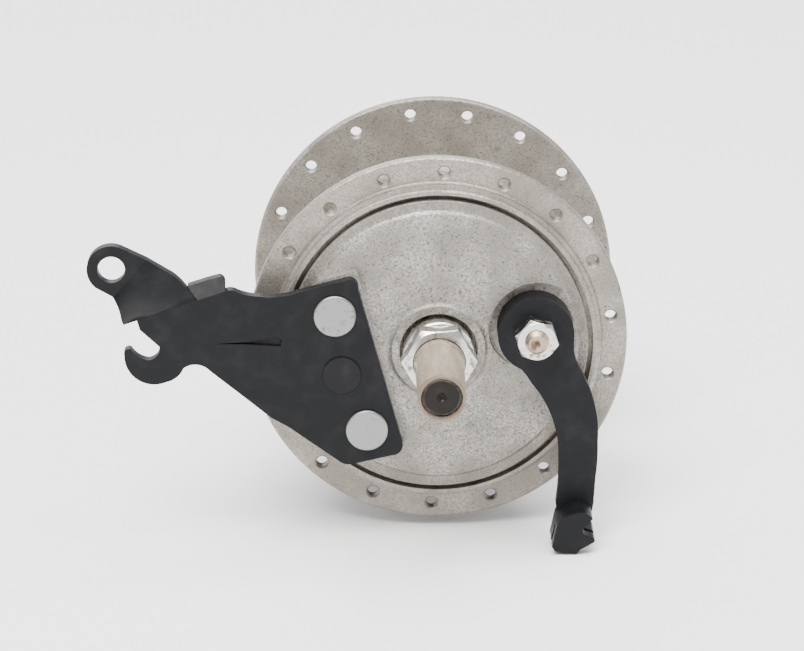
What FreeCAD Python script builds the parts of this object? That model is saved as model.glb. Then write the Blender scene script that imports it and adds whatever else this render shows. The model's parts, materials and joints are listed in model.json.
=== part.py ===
import FreeCAD, Part
import Sketcher
import math
import os

from FreeCAD import Placement, Rotation, Vector

# Rear bicycle hub with a three-speed epicyclic gear and a 70 mm drum brake, in millimetres.
# The hub axis is Y. The origin is on that axis at the outer face of the left locknut, the brake side
# is at -Y, the sprocket side at +Y and +Z is up. Every piece is a separate solid with its own label.

doc = FreeCAD.newDocument("hub_gear")
sheet = doc.addObject("Spreadsheet::Sheet", "sizes")

SIZES = {
    # axle and the pieces clamped on it
    "axle_r": 5.155,
    "axle_left_y": -26.2,
    "axle_right_y": 143,
    "axle_flats": 9.6,
    "rod_bore_r": 2.6,
    "over_locknuts": 116,
    "locknut_flats": 17,
    "locknut_depth": 5,
    "sleeve_r": 6.1,
    "sleeve_bore_r": 5.25,
    "sleeve_tip_y": -27,
    "collar_r": 9.3,
    # hub shell
    "flange_r": 49,
    "flange_depth": 3.2,
    "left_flange_y": 19,
    "right_flange_y": 78.3,
    "right_flange_r": 48.4,
    "spoke_pcd_r": 45,
    "right_pcd_r": 44.2,
    "spoke_hole_r": 1.5,
    "spoke_count": 18,
    "lip_r": 41.3,
    "lip_bore_r": 40,
    "lip_y": 15.5,
    "barrel_r": 28.6,
    "barrel_bore_r": 26,
    "drum_r": 35,
    "liner_r": 37.5,
    "drum_end_y": 38,
    # brake plate and its fittings
    "plate_r": 38.7,
    "plate_rim_y": 15,
    "plate_crown_y": 9.9,
    "plate_back_y": 17.6,
    "plate_hub_y": 19,
    "recess_r": 9.9,
    "recess_y": 13,
    "pivot_x": 24.9,
    "pivot_z": 5,
    "pocket_r": 12,
    "pocket_y": 14.1,
    "spindle_r": 5,
    "fulcrum_r": 4.5,
    "lever_head_r": 9.75,
    "lever_front_y": 6,
    "lever_depth": 3.2,
    "arm_front_y": 7,
    "arm_depth": 3,
    "rivet_r": 5.45,
    # brake shoes
    "shoe_y": 18.6,
    "shoe_width": 17,
    "lining_r": 34.48,
    "shoe_r": 32.6,
    "cam_half": 3,
    # balls and races
    "ball_r": 2.38,
    "left_race_r": 11,
    "left_race_y": 36.5,
    "driver_race_r": 20.8,
    "driver_race_y": 87,
    "cone_race_r": 10.5,
    "cone_race_y": 96.5,
    # epicyclic gear train
    "gear_module": 0.7,
    "sun_teeth": 20,
    "planet_teeth": 20,
    "ring_teeth": 60,
    "planet_orbit_r": 14,
    "gear_y": 50.5,
    "gear_width": 10.2,
    "planet_pin_r": 2.4,
    "cage_r": 19.4,
    "cage_end_y": 65,
    "ring_r": 24.4,
    "ring_bore_r": 21.8,
    "dog_r": 18.5,
    "dog_y": 69.5,
    "ring_end_y": 77.8,
    # clutch, driver and selector
    "clutch_y": 66,
    "clutch_arm_depth": 2.4,
    "clutch_arm_r": 21.3,
    "clutch_arm_half": 2.93,
    "selector_travel": 7.6,
    "driver_tube_r": 18.3,
    "driver_bore_r": 16.6,
    "driver_seat_r": 17.2,
    "driver_end_y": 103.5,
    "key_y": 72,
    "key_r": 1.5,
    # sprocket
    "sprocket_teeth": 18,
    "chain_pitch": 12.7,
    "roller_r": 3.95,
    "sprocket_y": 96.5,
    "sprocket_depth": 2.9,
    # fits
    "running_gap": 0.05,
}

SQUARE_ROOT_HALF = math.sqrt(0.5)
LIMIT_OVERLAP = 1e-6


class Size:
    """A number together with the spreadsheet expression that gives it."""

    def __init__(self, value, text=None):
        self.value = float(value)
        self.text = text if text is not None else repr(float(value))

    def _join(self, other, sign, value):
        return Size(value, "(" + self.text + " " + sign + " " + as_size(other).text + ")")

    def __add__(self, other):
        return self._join(other, "+", self.value + as_size(other).value)

    def __sub__(self, other):
        return self._join(other, "-", self.value - as_size(other).value)

    def __mul__(self, other):
        return self._join(other, "*", self.value * as_size(other).value)

    def __truediv__(self, other):
        return self._join(other, "/", self.value / as_size(other).value)

    def __radd__(self, other):
        return as_size(other) + self

    def __rsub__(self, other):
        return as_size(other) - self

    def __rmul__(self, other):
        return as_size(other) * self

    def __neg__(self):
        return Size(0) - self

    def __float__(self):
        return self.value


def as_size(number):
    return number if isinstance(number, Size) else Size(number)


class Sizes:
    """The spreadsheet's cells as attributes."""


def fill_sheet():
    cells = Sizes()
    for row, (alias, number) in enumerate(SIZES.items(), start=1):
        sheet.set("A%d" % row, alias)
        sheet.set("B%d" % row, str(number))
        sheet.setAlias("B%d" % row, alias)
        setattr(cells, alias, Size(number, "sizes." + alias))
    doc.recompute()
    return cells


S = fill_sheet()
parts = []


def keep(label, piece):
    """Register a finished sub-part under the name of its node."""
    piece.Label = label
    parts.append(piece)
    return piece


def bind(piece, prop, size):
    piece.setExpression(prop, as_size(size).text)


# ---------------------------------------------------------------- sketches and bodies


def origin_plane(body, role):
    return [f for f in body.Origin.OriginFeatures if f.Role == role][0]


def new_sketch(body, role, depth=0):
    """A sketch on one of the body's origin planes; on XZ_Plane, depth is its Y."""
    sketch = body.newObject("Sketcher::SketchObject", body.Name + "_sketch")
    sketch.AttachmentSupport = [(origin_plane(body, role), "")]
    sketch.MapMode = "FlatFace"
    depth = as_size(depth)
    sketch.AttachmentOffset = Placement(Vector(0, 0, -depth.value), Rotation())
    bind(sketch, ".AttachmentOffset.Base.z", -depth)
    return sketch


def pin_point(sketch, geometry, end, x, y):
    """Fix a point of the sketch at bound coordinates."""
    for kind, size in (("DistanceX", as_size(x)), ("DistanceY", as_size(y))):
        index = sketch.addConstraint(Sketcher.Constraint(kind, geometry, end, size.value))
        if "sizes." in size.text:
            bind(sketch, "Constraints[%d]" % index, size)


def arc_middle(start, end, radius):
    """The middle of the short arc from start to end; a negative radius bulges to the left."""
    chord = end - start
    half = chord.Length / 2
    if half > abs(radius):
        raise ValueError("arc of radius %g cannot span %g" % (radius, chord.Length))
    rise = abs(radius) - math.sqrt(radius * radius - half * half)
    side = Vector(-chord.y, chord.x, 0).normalize()
    return start + chord * 0.5 + side * (rise if radius < 0 else -rise)


def closed_outline(sketch, points):
    """Draw a closed outline. A point is (x, y) or (x, y, radius): the radius is of the arc that leads to it."""
    flat = [Vector(float(p[0]), float(p[1]), 0) for p in points]
    count = len(points)
    for i in range(count):
        start = flat[i]
        end = flat[(i + 1) % count]
        target = points[(i + 1) % count]
        if len(target) == 3:
            radius = as_size(target[2])
            arc = Part.Arc(start, arc_middle(start, end, radius.value), end)
            sketch.addGeometry(arc, False)
        else:
            sketch.addGeometry(Part.LineSegment(start, end), False)
    for i in range(count):
        target = points[(i + 1) % count]
        is_arc = len(target) == 3
        own_start = start_of(sketch, i, flat[i], is_arc)
        pin_point(sketch, i, own_start, points[i][0], points[i][1])
    for i in range(count):
        following = (i + 1) % count
        is_arc = len(points[following]) == 3
        next_is_arc = len(points[(i + 2) % count]) == 3
        own_end = 3 - start_of(sketch, i, flat[i], is_arc)
        next_start = start_of(sketch, following, flat[following], next_is_arc)
        joined = Sketcher.Constraint("Coincident", i, own_end, following, next_start)
        sketch.addConstraint(joined)
        if is_arc:
            radius = as_size(points[following][2])
            index = sketch.addConstraint(Sketcher.Constraint("Radius", i, abs(radius.value)))
            if "sizes." in radius.text:
                bind(sketch, "Constraints[%d]" % index, radius)
    return sketch


def start_of(sketch, index, point, is_arc):
    """Which end of a sketch edge lies at the point: arcs are stored anticlockwise."""
    if not is_arc:
        return 1
    return 1 if (sketch.getPoint(index, 1) - point).Length < 1e-6 else 2


def circle_in(sketch, x, y, radius):
    x, y, radius = as_size(x), as_size(y), as_size(radius)
    centre = Vector(x.value, y.value, 0)
    index = sketch.addGeometry(Part.Circle(centre, Vector(0, 0, 1), radius.value), False)
    pin_point(sketch, index, 3, x, y)
    ring = sketch.addConstraint(Sketcher.Constraint("Radius", index, radius.value))
    bind(sketch, "Constraints[%d]" % ring, radius)
    return sketch


def tube_profile(inner, outer, start, end, bevel=0):
    """The (radius, y) outline of a plain ring, with its two outer corners bevelled."""
    if not bevel:
        return [(inner, start), (outer, start), (outer, end), (inner, end)]
    outline = [(inner, start), (outer - bevel, start), (outer, start + bevel)]
    return outline + [(outer, end - bevel), (outer - bevel, end), (inner, end)]


def new_body(name):
    return doc.addObject("PartDesign::Body", name)


def revolved(name, points, body=None):
    """A body turned about the hub axis from (radius, y) points."""
    body = body or new_body(name)
    sketch = closed_outline(new_sketch(body, "XY_Plane"), points)
    turn = body.newObject("PartDesign::Revolution", name + "_turned")
    turn.Profile = sketch
    turn.ReferenceAxis = (sketch, ["V_Axis"])
    turn.Angle = 360
    sketch.Visibility = False
    doc.recompute()
    return body


def padded(body, sketch, depth):
    """Extend a sketch on the XZ plane towards +Y."""
    pad = body.newObject("PartDesign::Pad", body.Name + "_pad")
    pad.Profile = sketch
    pad.Reversed = True
    pad.Length = float(depth)
    bind(pad, "Length", depth)
    doc.recompute()
    return pad


def must_shrink(body, before, feature):
    """A cut that misses the solid changes nothing and reports nothing, so its volume is compared."""
    if not body.Shape.Volume < before - LIMIT_OVERLAP:
        raise RuntimeError(feature.Name + " removed nothing")


def pocketed(body, sketch, depth, copies=None):
    """Cut a sketch on the XZ plane towards +Y, optionally repeated around the hub axis."""
    before = body.Shape.Volume
    pocket = body.newObject("PartDesign::Pocket", body.Name + "_pocket")
    pocket.Profile = sketch
    pocket.Length = float(depth)
    bind(pocket, "Length", depth)
    doc.recompute()
    must_shrink(body, before, pocket)
    if copies is not None:
        around_axis(body, pocket, copies)
    return pocket


def around_axis(body, feature, copies):
    copies = as_size(copies)
    before = body.Shape.Volume
    pattern = body.newObject("PartDesign::PolarPattern", feature.Name + "_pattern")
    pattern.Originals = [feature]
    pattern.Axis = (origin_plane(body, "Y_Axis"), [""])
    pattern.Angle = 360
    pattern.Occurrences = int(copies.value)
    bind(pattern, "Occurrences", copies)
    body.Tip = pattern
    doc.recompute()
    if abs(body.Shape.Volume - before) < LIMIT_OVERLAP:
        raise RuntimeError(pattern.Name + " changed nothing")
    return pattern


def grooved(body, points):
    """Cut a (radius, y) outline turned about the hub axis."""
    before = body.Shape.Volume
    sketch = closed_outline(new_sketch(body, "XY_Plane"), points)
    groove = body.newObject("PartDesign::Groove", body.Name + "_groove")
    groove.Profile = sketch
    groove.ReferenceAxis = (sketch, ["V_Axis"])
    groove.Angle = 360
    doc.recompute()
    must_shrink(body, before, groove)
    return groove


# ---------------------------------------------------------------- Part primitives


def along_y(piece, x, y, z):
    """Stand a primitive on the hub axis' direction with its base at (x, y, z), all bound."""
    place = [as_size(number) for number in (x, y, z)]
    turn = Rotation(Vector(1, 0, 0), -90)
    piece.Placement = Placement(Vector(*[size.value for size in place]), turn)
    for letter, size in zip("xyz", place):
        bind(piece, ".Placement.Base." + letter, size)
    return piece


def rod(name, radius, x, y, z, depth):
    piece = doc.addObject("Part::Cylinder", name)
    bind(piece, "Radius", radius)
    bind(piece, "Height", depth)
    return along_y(piece, x, y, z)


def cone(name, first, second, x, y, z, depth):
    piece = doc.addObject("Part::Cone", name)
    bind(piece, "Radius1", first)
    bind(piece, "Radius2", second)
    bind(piece, "Height", depth)
    return along_y(piece, x, y, z)


def boolean(kind, name, base, tool):
    piece = doc.addObject("Part::" + kind, name)
    piece.Base = base
    piece.Tool = tool
    doc.recompute()
    return piece


def fused(name, pieces):
    piece = doc.addObject("Part::MultiFuse", name)
    piece.Shapes = pieces
    doc.recompute()
    return piece


def grouped(name, pieces):
    """Separate solids of one kind that share a node."""
    piece = doc.addObject("Part::Compound", name)
    piece.Links = pieces
    doc.recompute()
    return piece


def set_shape(name, shape):
    """A shape that the features have no tool for, built from the sheet's sizes."""
    piece = doc.addObject("Part::Feature", name)
    piece.Shape = shape
    piece.Placement = Placement()
    return piece


def prism_y(points, start, depth):
    """A straight solid along Y over an (x, z) polygon."""
    corners = [Vector(x, start, z) for x, z in points]
    face = Part.Face(Part.makePolygon(corners + corners[:1]))
    return face.extrude(Vector(0, depth, 0))


def around(radius, degrees):
    """The (x, z) of a point at a radius and an angle from +X towards +Z."""
    angle = math.radians(degrees)
    return radius * math.cos(angle), radius * math.sin(angle)


def hexagon_nut(
    label, across_flats, bore_r, x, y, z, depth, bevel_first, bevel_second, turned=0, mouth_r=None
):
    """A hexagon nut whose end faces are turned to a cone where asked.

    turned is its angle about the hub axis' direction, mouth_r the radius of a countersink in front.
    """
    name = label + "_"
    corner = across_flats / math.sqrt(3)
    prism = doc.addObject("Part::Prism", name + "prism")
    prism.Polygon = 6
    bind(prism, "Circumradius", corner)
    bind(prism, "Height", depth)
    along_y(prism, x, y, z)
    prism.Placement = Placement(
        prism.Placement.Base, Rotation(Vector(0, 1, 0), turned) * prism.Placement.Rotation
    )
    blank = prism
    slope = corner * 0.12
    face_r = across_flats * 0.485
    if bevel_first:
        flare = cone(name + "front_cone", face_r, corner + slope, x, y, z, depth * 0.45)
        rest = rod(name + "front_rest", corner + slope, x, y + depth * 0.45, z, depth)
        blank = boolean("Common", name + "fronted", blank, fused(name + "front", [flare, rest]))
    if bevel_second:
        flare = cone(
            name + "back_cone", corner + slope, face_r, x, y + depth * 0.55, z, depth * 0.45
        )
        rest = rod(name + "back_rest", corner + slope, x, y - depth * 0.45, z, depth)
        blank = boolean("Common", name + "backed", blank, fused(name + "back", [flare, rest]))
    bore = rod(name + "bore", bore_r, x, y - 1, z, depth + 2)
    if mouth_r:
        mouth = cone(name + "mouth", mouth_r, bore_r, x, y, z, mouth_r - float(bore_r))
        bore = fused(name + "bores", [bore, mouth])
    return keep(label, boolean("Cut", name + "body", blank, bore))


# ---------------------------------------------------------------- axle group


def involute_point(base_r, radius, half_angle_at_base):
    """A point of the right-hand flank of a tooth that is symmetric about the angle 0."""
    pressure = math.acos(base_r / radius)
    angle = half_angle_at_base - (math.tan(pressure) - pressure)
    return radius, angle


def toothed_wire(teeth, root_r, tip_r, thinning, first_tooth=0.0):
    """An involute outline in XZ. thinning is how much thinner than half a pitch each tooth is."""
    module = float(S.gear_module)
    pitch_r = module * teeth / 2
    pressure = math.radians(20)
    base_r = pitch_r * math.cos(pressure)
    half_at_pitch = (math.pi * module / 2 - thinning) / (2 * pitch_r)
    half_at_base = half_at_pitch + math.tan(pressure) - pressure
    start_r = max(base_r * 1.0005, root_r)
    steps = 5
    radii = [start_r + (tip_r - start_r) * i / steps for i in range(steps + 1)]
    flank = [involute_point(base_r, r, half_at_base) for r in radii]
    edges = []

    def spot(radius, angle):
        return Vector(radius * math.cos(angle), 0, radius * math.sin(angle))

    def curve(points):
        spline = Part.BSplineCurve()
        spline.interpolate(points)
        edges.append(spline.toShape())

    def arc(radius, first, second):
        middle = spot(radius, (first + second) / 2)
        edges.append(Part.Arc(spot(radius, first), middle, spot(radius, second)).toShape())

    pitch = 2 * math.pi / teeth
    for number in range(teeth):
        middle = math.radians(first_tooth) + number * pitch
        foot = flank[0][1]
        if start_r > root_r + 0.001:
            edges.append(Part.makeLine(spot(root_r, middle - foot), spot(start_r, middle - foot)))
        curve([spot(r, middle - a) for r, a in flank])
        arc(tip_r, middle - flank[-1][1], middle + flank[-1][1])
        curve([spot(r, middle + a) for r, a in reversed(flank)])
        if start_r > root_r + 0.001:
            edges.append(Part.makeLine(spot(start_r, middle + foot), spot(root_r, middle + foot)))
        arc(root_r, middle + foot, middle + pitch - foot)
    return Part.Wire(edges)


TOOTH_THINNING = 0.05


def gear_solid(teeth, centre, depth, first_tooth=0.0):
    """A solid external gear along Y with standard proportions and a little backlash."""
    module = float(S.gear_module)
    pitch_r = module * teeth / 2
    outline = toothed_wire(
        teeth, pitch_r - 1.15 * module, pitch_r + 0.9 * module, TOOTH_THINNING, first_tooth
    )
    face = Part.Face(outline)
    face.translate(centre)
    return face.extrude(Vector(0, depth, 0))


def make_axle():
    bevel = 0.8
    shaft = revolved(
        "axle_shaft",
        [
            (0, S.axle_left_y + 1),
            (1, S.axle_left_y),
            (S.axle_r - bevel, S.axle_left_y),
            (S.axle_r, S.axle_left_y + bevel),
            (S.axle_r, S.axle_right_y - bevel),
            (S.axle_r - bevel, S.axle_right_y),
            (S.rod_bore_r, S.axle_right_y),
            (S.rod_bore_r, S.key_y - 2.2),
            (0, S.key_y - 2.2),
        ],
    )
    half_flat = S.axle_flats / 2
    wide = S.axle_r * 2
    flat_spans = [
        (S.axle_left_y - 1, S.plate_hub_y),
        (S.driver_end_y + 1, S.axle_right_y + 1),
    ]
    for side in (1, -1):
        for start, end in flat_spans:
            box = [(-wide, side * half_flat), (wide, side * half_flat)]
            box += [(wide, side * wide), (-wide, side * wide)]
            pocketed(shaft, closed_outline(new_sketch(shaft, "XZ_Plane", start), box), end - start)
    slot_half = S.key_r + 0.1
    slot_start = S.key_y - slot_half
    slot_end = S.key_y + S.selector_travel + slot_half
    sketch = closed_outline(
        new_sketch(shaft, "XY_Plane", 0),
        [
            (-wide, slot_start),
            (wide, slot_start),
            (wide, slot_end),
            (-wide, slot_end),
        ],
    )
    before = shaft.Shape.Volume
    slot = shaft.newObject("PartDesign::Pocket", "axle_key_slot")
    slot.Profile = sketch
    slot.Midplane = True
    slot.Length = 2 * slot_half.value
    bind(slot, "Length", slot_half * 2)
    doc.recompute()
    must_shrink(shaft, before, slot)
    teeth = gear_solid(int(float(S.sun_teeth)), Vector(0, float(S.gear_y), 0), float(S.gear_width))
    core = rod("sun_core", S.axle_r - 1, 0, S.gear_y - 1, 0, S.gear_width + 2)
    sun = boolean("Cut", "sun_ring", set_shape("sun_gear", teeth), core)
    keep("axle", boolean("Fuse", "axle_with_sun", shaft, sun))


def make_axle_fittings():
    keep(
        "axle_sleeve",
        revolved(
            "sleeve",
            [
                (S.sleeve_bore_r, S.sleeve_tip_y),
                (S.sleeve_r - 0.35, S.sleeve_tip_y),
                (S.sleeve_r, S.sleeve_tip_y + 0.5),
                (S.sleeve_r + 0.15, -3),
                (S.sleeve_r + 0.5, -1.6),
                (S.sleeve_r + 0.5, -0.3),
                (S.sleeve_r + 0.2, -0.05),
                (S.sleeve_bore_r, -0.05),
            ],
        ),
    )
    hexagon_nut(
        "left_locknut",
        S.locknut_flats,
        S.axle_r,
        0,
        0,
        0,
        S.locknut_depth,
        True,
        False,
        mouth_r=6.75,
    )
    keep(
        "left_axle_collar",
        revolved("collar", tube_profile(S.axle_r, S.collar_r, S.locknut_depth, S.recess_y, 0.5)),
    )
    lean = S.ball_r * SQUARE_ROOT_HALF + 0.015
    touch_r = S.left_race_r - lean
    touch_y = S.left_race_y - lean
    keep(
        "left_cone",
        revolved(
            "left_cone_body",
            [
                (S.axle_r, S.plate_hub_y),
                (8.5, S.plate_hub_y),
                (8.5, touch_y - 3.4),
                (touch_r + 1.7, touch_y - 3.4),
                (touch_r + 1.7, touch_y - 1.7),
                (touch_r - 1.3, touch_y + 1.3),
                (touch_r - 1.3, touch_y + 5.5),
                (S.axle_r, touch_y + 5.5),
            ],
        ),
    )
    touch_r = S.cone_race_r - lean
    touch_y = S.cone_race_y + lean
    cone_end = S.over_locknuts - 8
    keep(
        "right_cone",
        revolved(
            "right_cone_body",
            [
                (S.axle_r, touch_y - 4.7),
                (touch_r - 0.9, touch_y - 4.7),
                (touch_r - 0.9, touch_y - 0.9),
                (touch_r + 2, touch_y + 2),
                (touch_r + 2, touch_y + 4),
                (8.5, touch_y + 4),
                (8.5, cone_end),
                (S.axle_r, cone_end),
            ],
        ),
    )
    washer = tube_profile(S.axle_r, 8.9, cone_end, cone_end + 2, 0.3)
    keep("right_lock_washer", revolved("right_washer", washer))
    nut_start = cone_end + 2
    hexagon_nut(
        "right_locknut",
        S.locknut_flats,
        S.axle_r,
        0,
        nut_start,
        0,
        S.over_locknuts - nut_start,
        False,
        True,
    )


# ---------------------------------------------------------------- pawl and ratchet layout

RING_PAWL_ANGLES = (0.0, 180.0)
RING_PIVOT_R = 19.9
RING_PIN_R = 0.8
RING_EYE_R = 1.5
LOW_PAWL_ANGLES = (45.0, 225.0)
LOW_PIVOT_R = 10.7
LOW_PIN_R = 1.0
LOW_EYE_R = 2.1
RATCHET_TEETH = 16
# where a gap's radial face lies so that both pawls of a pair meet one at the same time
LEFT_RATCHET_LEAD = 10.4
RIGHT_RATCHET_LEAD = 23.25


# ---------------------------------------------------------------- hub shell group


LEFT_SPOKE_PHASE = 7.3


def make_shell():
    left = S.left_flange_y
    right = S.right_flange_y
    shell = revolved(
        "shell",
        [
            (S.lip_bore_r, S.lip_y),
            (S.lip_r - 0.5, S.lip_y),
            (S.lip_r, S.lip_y + 0.5, 0.5),
            (S.lip_r, S.lip_y + 1.6),
            (S.lip_r + 0.9, S.lip_y + 1.9),
            (S.lip_r + 1.4, left, -1.6),
            (S.flange_r - 0.8, left),
            (S.flange_r, left + 0.8, 0.8),
            (S.flange_r, left + S.flange_depth - 0.8),
            (S.flange_r - 0.8, left + S.flange_depth, 0.8),
            (S.lip_r + 1, left + S.flange_depth + 0.6),
            (S.lip_r - 1.2, left + S.flange_depth + 3, -3),
            (S.lip_r - 2, S.drum_end_y),
            (S.barrel_r + 1.5, S.drum_end_y + 9, 22),
            (S.barrel_r, S.drum_end_y + 13),
            (S.barrel_r, right - 5),
            (S.barrel_r + 5, right, -5),
            (S.right_flange_r - 0.8, right),
            (S.right_flange_r, right + 0.8, 0.8),
            (S.right_flange_r, right + S.flange_depth - 0.8),
            (S.right_flange_r - 0.8, right + S.flange_depth, 0.8),
            (34, right + S.flange_depth),
            (32, right + S.flange_depth + 1, -2),
            (31, right + S.flange_depth + 4),
            (S.barrel_bore_r, right + S.flange_depth + 4),
            (S.barrel_bore_r, S.drum_end_y + 8.5),
            (17.5, S.drum_end_y + 8.5),
            (17.5, S.drum_end_y - 2),
            (20, S.drum_end_y - 2),
            (20, S.drum_end_y + 0.5),
            (S.liner_r, S.drum_end_y + 0.5),
            (S.liner_r, S.lip_y + 3),
            (S.lip_bore_r, S.lip_y + 3),
        ],
    )
    for start, circle_r, phase in (
        (left, S.spoke_pcd_r, LEFT_SPOKE_PHASE),
        (right, S.right_pcd_r, LEFT_SPOKE_PHASE + 10.0),
    ):
        x, z = around(1, phase)
        sketch = new_sketch(shell, "XZ_Plane", start - 1)
        circle_in(sketch, circle_r * x, circle_r * z, S.spoke_hole_r)
        pocketed(shell, sketch, S.flange_depth + 2, S.spoke_count)
    keep("hub_shell", boolean("Cut", "shell_body", shell, spoke_hole_mouths()))
    liner = tube_profile(S.drum_r, S.liner_r, S.lip_y + 3, S.drum_end_y)
    keep("drum_liner", revolved("liner", liner))


def spoke_hole_mouths():
    """The small countersinks at both ends of every spoke hole."""
    ease = 0.35
    mouths = []
    for side, face_y, circle_r, phase in (
        ("left", S.left_flange_y, S.spoke_pcd_r, LEFT_SPOKE_PHASE),
        ("right", S.right_flange_y, S.right_pcd_r, LEFT_SPOKE_PHASE + 10.0),
    ):
        for number in range(int(float(S.spoke_count))):
            x, z = around(1, phase + 360.0 * number / float(S.spoke_count))
            place_x, place_z = circle_r * x, circle_r * z
            wide, narrow = S.spoke_hole_r + ease, S.spoke_hole_r
            back_y = face_y + S.flange_depth - ease
            name = "%s_mouth_%d" % (side, number)
            mouths.append(cone(name + "_front", wide, narrow, place_x, face_y, place_z, ease))
            mouths.append(cone(name + "_back", narrow, wide, place_x, back_y, place_z, ease))
    return grouped("spoke_hole_mouths", mouths)


def ratchet_gap(tip_r, root_r, lead_angle):
    """One tooth gap of an internal ratchet: a radial face at the lead angle, then a ramp back."""
    inner = tip_r - 0.6
    pitch = 360.0 / RATCHET_TEETH
    points = [around(inner, lead_angle), around(root_r, lead_angle)]
    ramp = [(tip_r, pitch * 0.93), (tip_r + (root_r - tip_r) * 0.5, pitch * 0.5)]
    points += [around(radius, lead_angle - back) for radius, back in reversed(ramp)]
    points.append(around(inner, lead_angle - pitch * 0.93))
    return points


def cut_ratchet(body, tip_r, root_r, start, depth, lead_angle):
    sketch = new_sketch(body, "XZ_Plane", start)
    closed_outline(sketch, ratchet_gap(float(tip_r), float(root_r), lead_angle))
    pocketed(body, sketch, depth, RATCHET_TEETH)


def make_shell_bearings():
    lean = S.ball_r * SQUARE_ROOT_HALF + 0.015
    touch_r = S.left_race_r + lean
    touch_y = S.left_race_y + lean
    cup = revolved(
        "left_cup",
        [
            (touch_r + 2.3, touch_y - 4.2),
            (17.5, touch_y - 4.2),
            (17.5, S.drum_end_y + 8.5),
            (14, S.drum_end_y + 8.5),
            (14, touch_y + 3.2),
            (touch_r - 1.6, touch_y + 3.2),
            (touch_r - 1.6, touch_y + 1.6),
            (touch_r + 2.3, touch_y - 2.3),
        ],
    )
    cut_ratchet(cup, 14, 15.9, 42, 5, LEFT_RATCHET_LEAD)
    keep("left_ball_cup", cup)
    cover = tube_profile(12, 17.4, touch_y - 5.0, touch_y - 4.2)
    keep("left_dust_cap", revolved("left_cover", cover))
    touch_r = S.driver_race_r + lean
    touch_y = S.driver_race_y - lean
    shell_end = S.right_flange_y + S.flange_depth + 4
    ring = revolved(
        "ball_ring_body",
        [
            (21.5, 78),
            (S.barrel_bore_r, 78),
            (S.barrel_bore_r, shell_end),
            (28.5, shell_end),
            (28.5, shell_end + 4.2),
            (27.7, shell_end + 5),
            (touch_r + 1.9, shell_end + 5),
            (touch_r + 1.9, touch_y + 1.9),
            (21.5, touch_y - (touch_r - 21.5)),
        ],
    )
    cut_ratchet(ring, 21.5, 23.6, 77.5, 5.5, RIGHT_RATCHET_LEAD)
    notch = new_sketch(ring, "XZ_Plane", shell_end + 2.5)
    closed_outline(notch, [(27, -2.5), (30, -2.5), (30, 2.5), (27, 2.5)])
    pocketed(ring, notch, 4, 2)
    keep("ball_ring", ring)
    cover = tube_profile(S.driver_race_r + 0.4, touch_r + 1.9, shell_end + 4.1, shell_end + 4.9)
    keep("ball_ring_dust_cap", revolved("ball_ring_cover", cover))


def ball_set(label, race_r, race_y, count):
    """A ring of balls, as separate solids of one node."""
    balls = []
    for number in range(count):
        x, z = around(float(race_r), 360.0 * number / count)
        balls.append(Part.makeSphere(float(S.ball_r), Vector(x, float(race_y), z)))
    keep(label, set_shape(label + "_shape", Part.makeCompound(balls)))


def ball_retainer(label, race_r, race_y, count, side):
    """A flat ring beside the balls with a pocket for each; side is -1 to the left, 1 to the right."""
    start = race_y + (1.5 if side > 0 else -2.3)
    ring = revolved(label + "_ring", tube_profile(race_r + 0.4, race_r + 3.1, start, start + 0.8))
    pockets = []
    for number in range(count):
        x, z = around(float(race_r), 360.0 * number / count)
        pocket_r = float(S.ball_r) + 0.06
        pockets.append(Part.makeSphere(pocket_r, Vector(x, float(race_y), z)))
    tool = set_shape(label + "_pockets", Part.makeCompound(pockets))
    keep(label, boolean("Cut", label + "_body", ring, tool))


LEFT_BALLS = 9
CONE_BALLS = 8
DRIVER_BALLS = 24


def make_bearings():
    ball_set("left_bearing_balls", S.left_race_r, S.left_race_y, LEFT_BALLS)
    ball_retainer("left_ball_retainer", S.left_race_r, S.left_race_y, LEFT_BALLS, -1)
    ball_set("driver_bearing_balls", S.driver_race_r, S.driver_race_y, DRIVER_BALLS)
    ball_set("cone_bearing_balls", S.cone_race_r, S.cone_race_y, CONE_BALLS)
    ball_retainer("right_ball_retainer", S.cone_race_r, S.cone_race_y, CONE_BALLS, 1)


# ---------------------------------------------------------------- epicyclic gear train

PLANETS = 4
CLUTCH_ANGLE = 22.5
DOG_GAPS = 16


def planet_places():
    return [around(1, 360.0 * number / PLANETS) for number in range(PLANETS)]


def make_planets():
    """Each pinion turns on a fixed pin; a tooth space faces the sun's tooth."""
    orbit = float(S.planet_orbit_r)
    teeth = int(float(S.planet_teeth))
    for number, (x, z) in enumerate(planet_places(), start=1):
        half_pitch = 180.0 / teeth
        bearing = math.degrees(math.atan2(z, x))
        centre = Vector(orbit * x, float(S.gear_y), orbit * z)
        gear = gear_solid(teeth, centre, float(S.gear_width), bearing + half_pitch)
        blank = set_shape("pinion_%d" % number, gear)
        bore = rod(
            "pinion_bore_%d" % number,
            S.planet_pin_r + S.running_gap,
            S.planet_orbit_r * x,
            S.gear_y - 1,
            S.planet_orbit_r * z,
            S.gear_width + 2,
        )
        keep("planet_pinion_%d" % number, boolean("Cut", "pinion_body_%d" % number, blank, bore))


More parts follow.
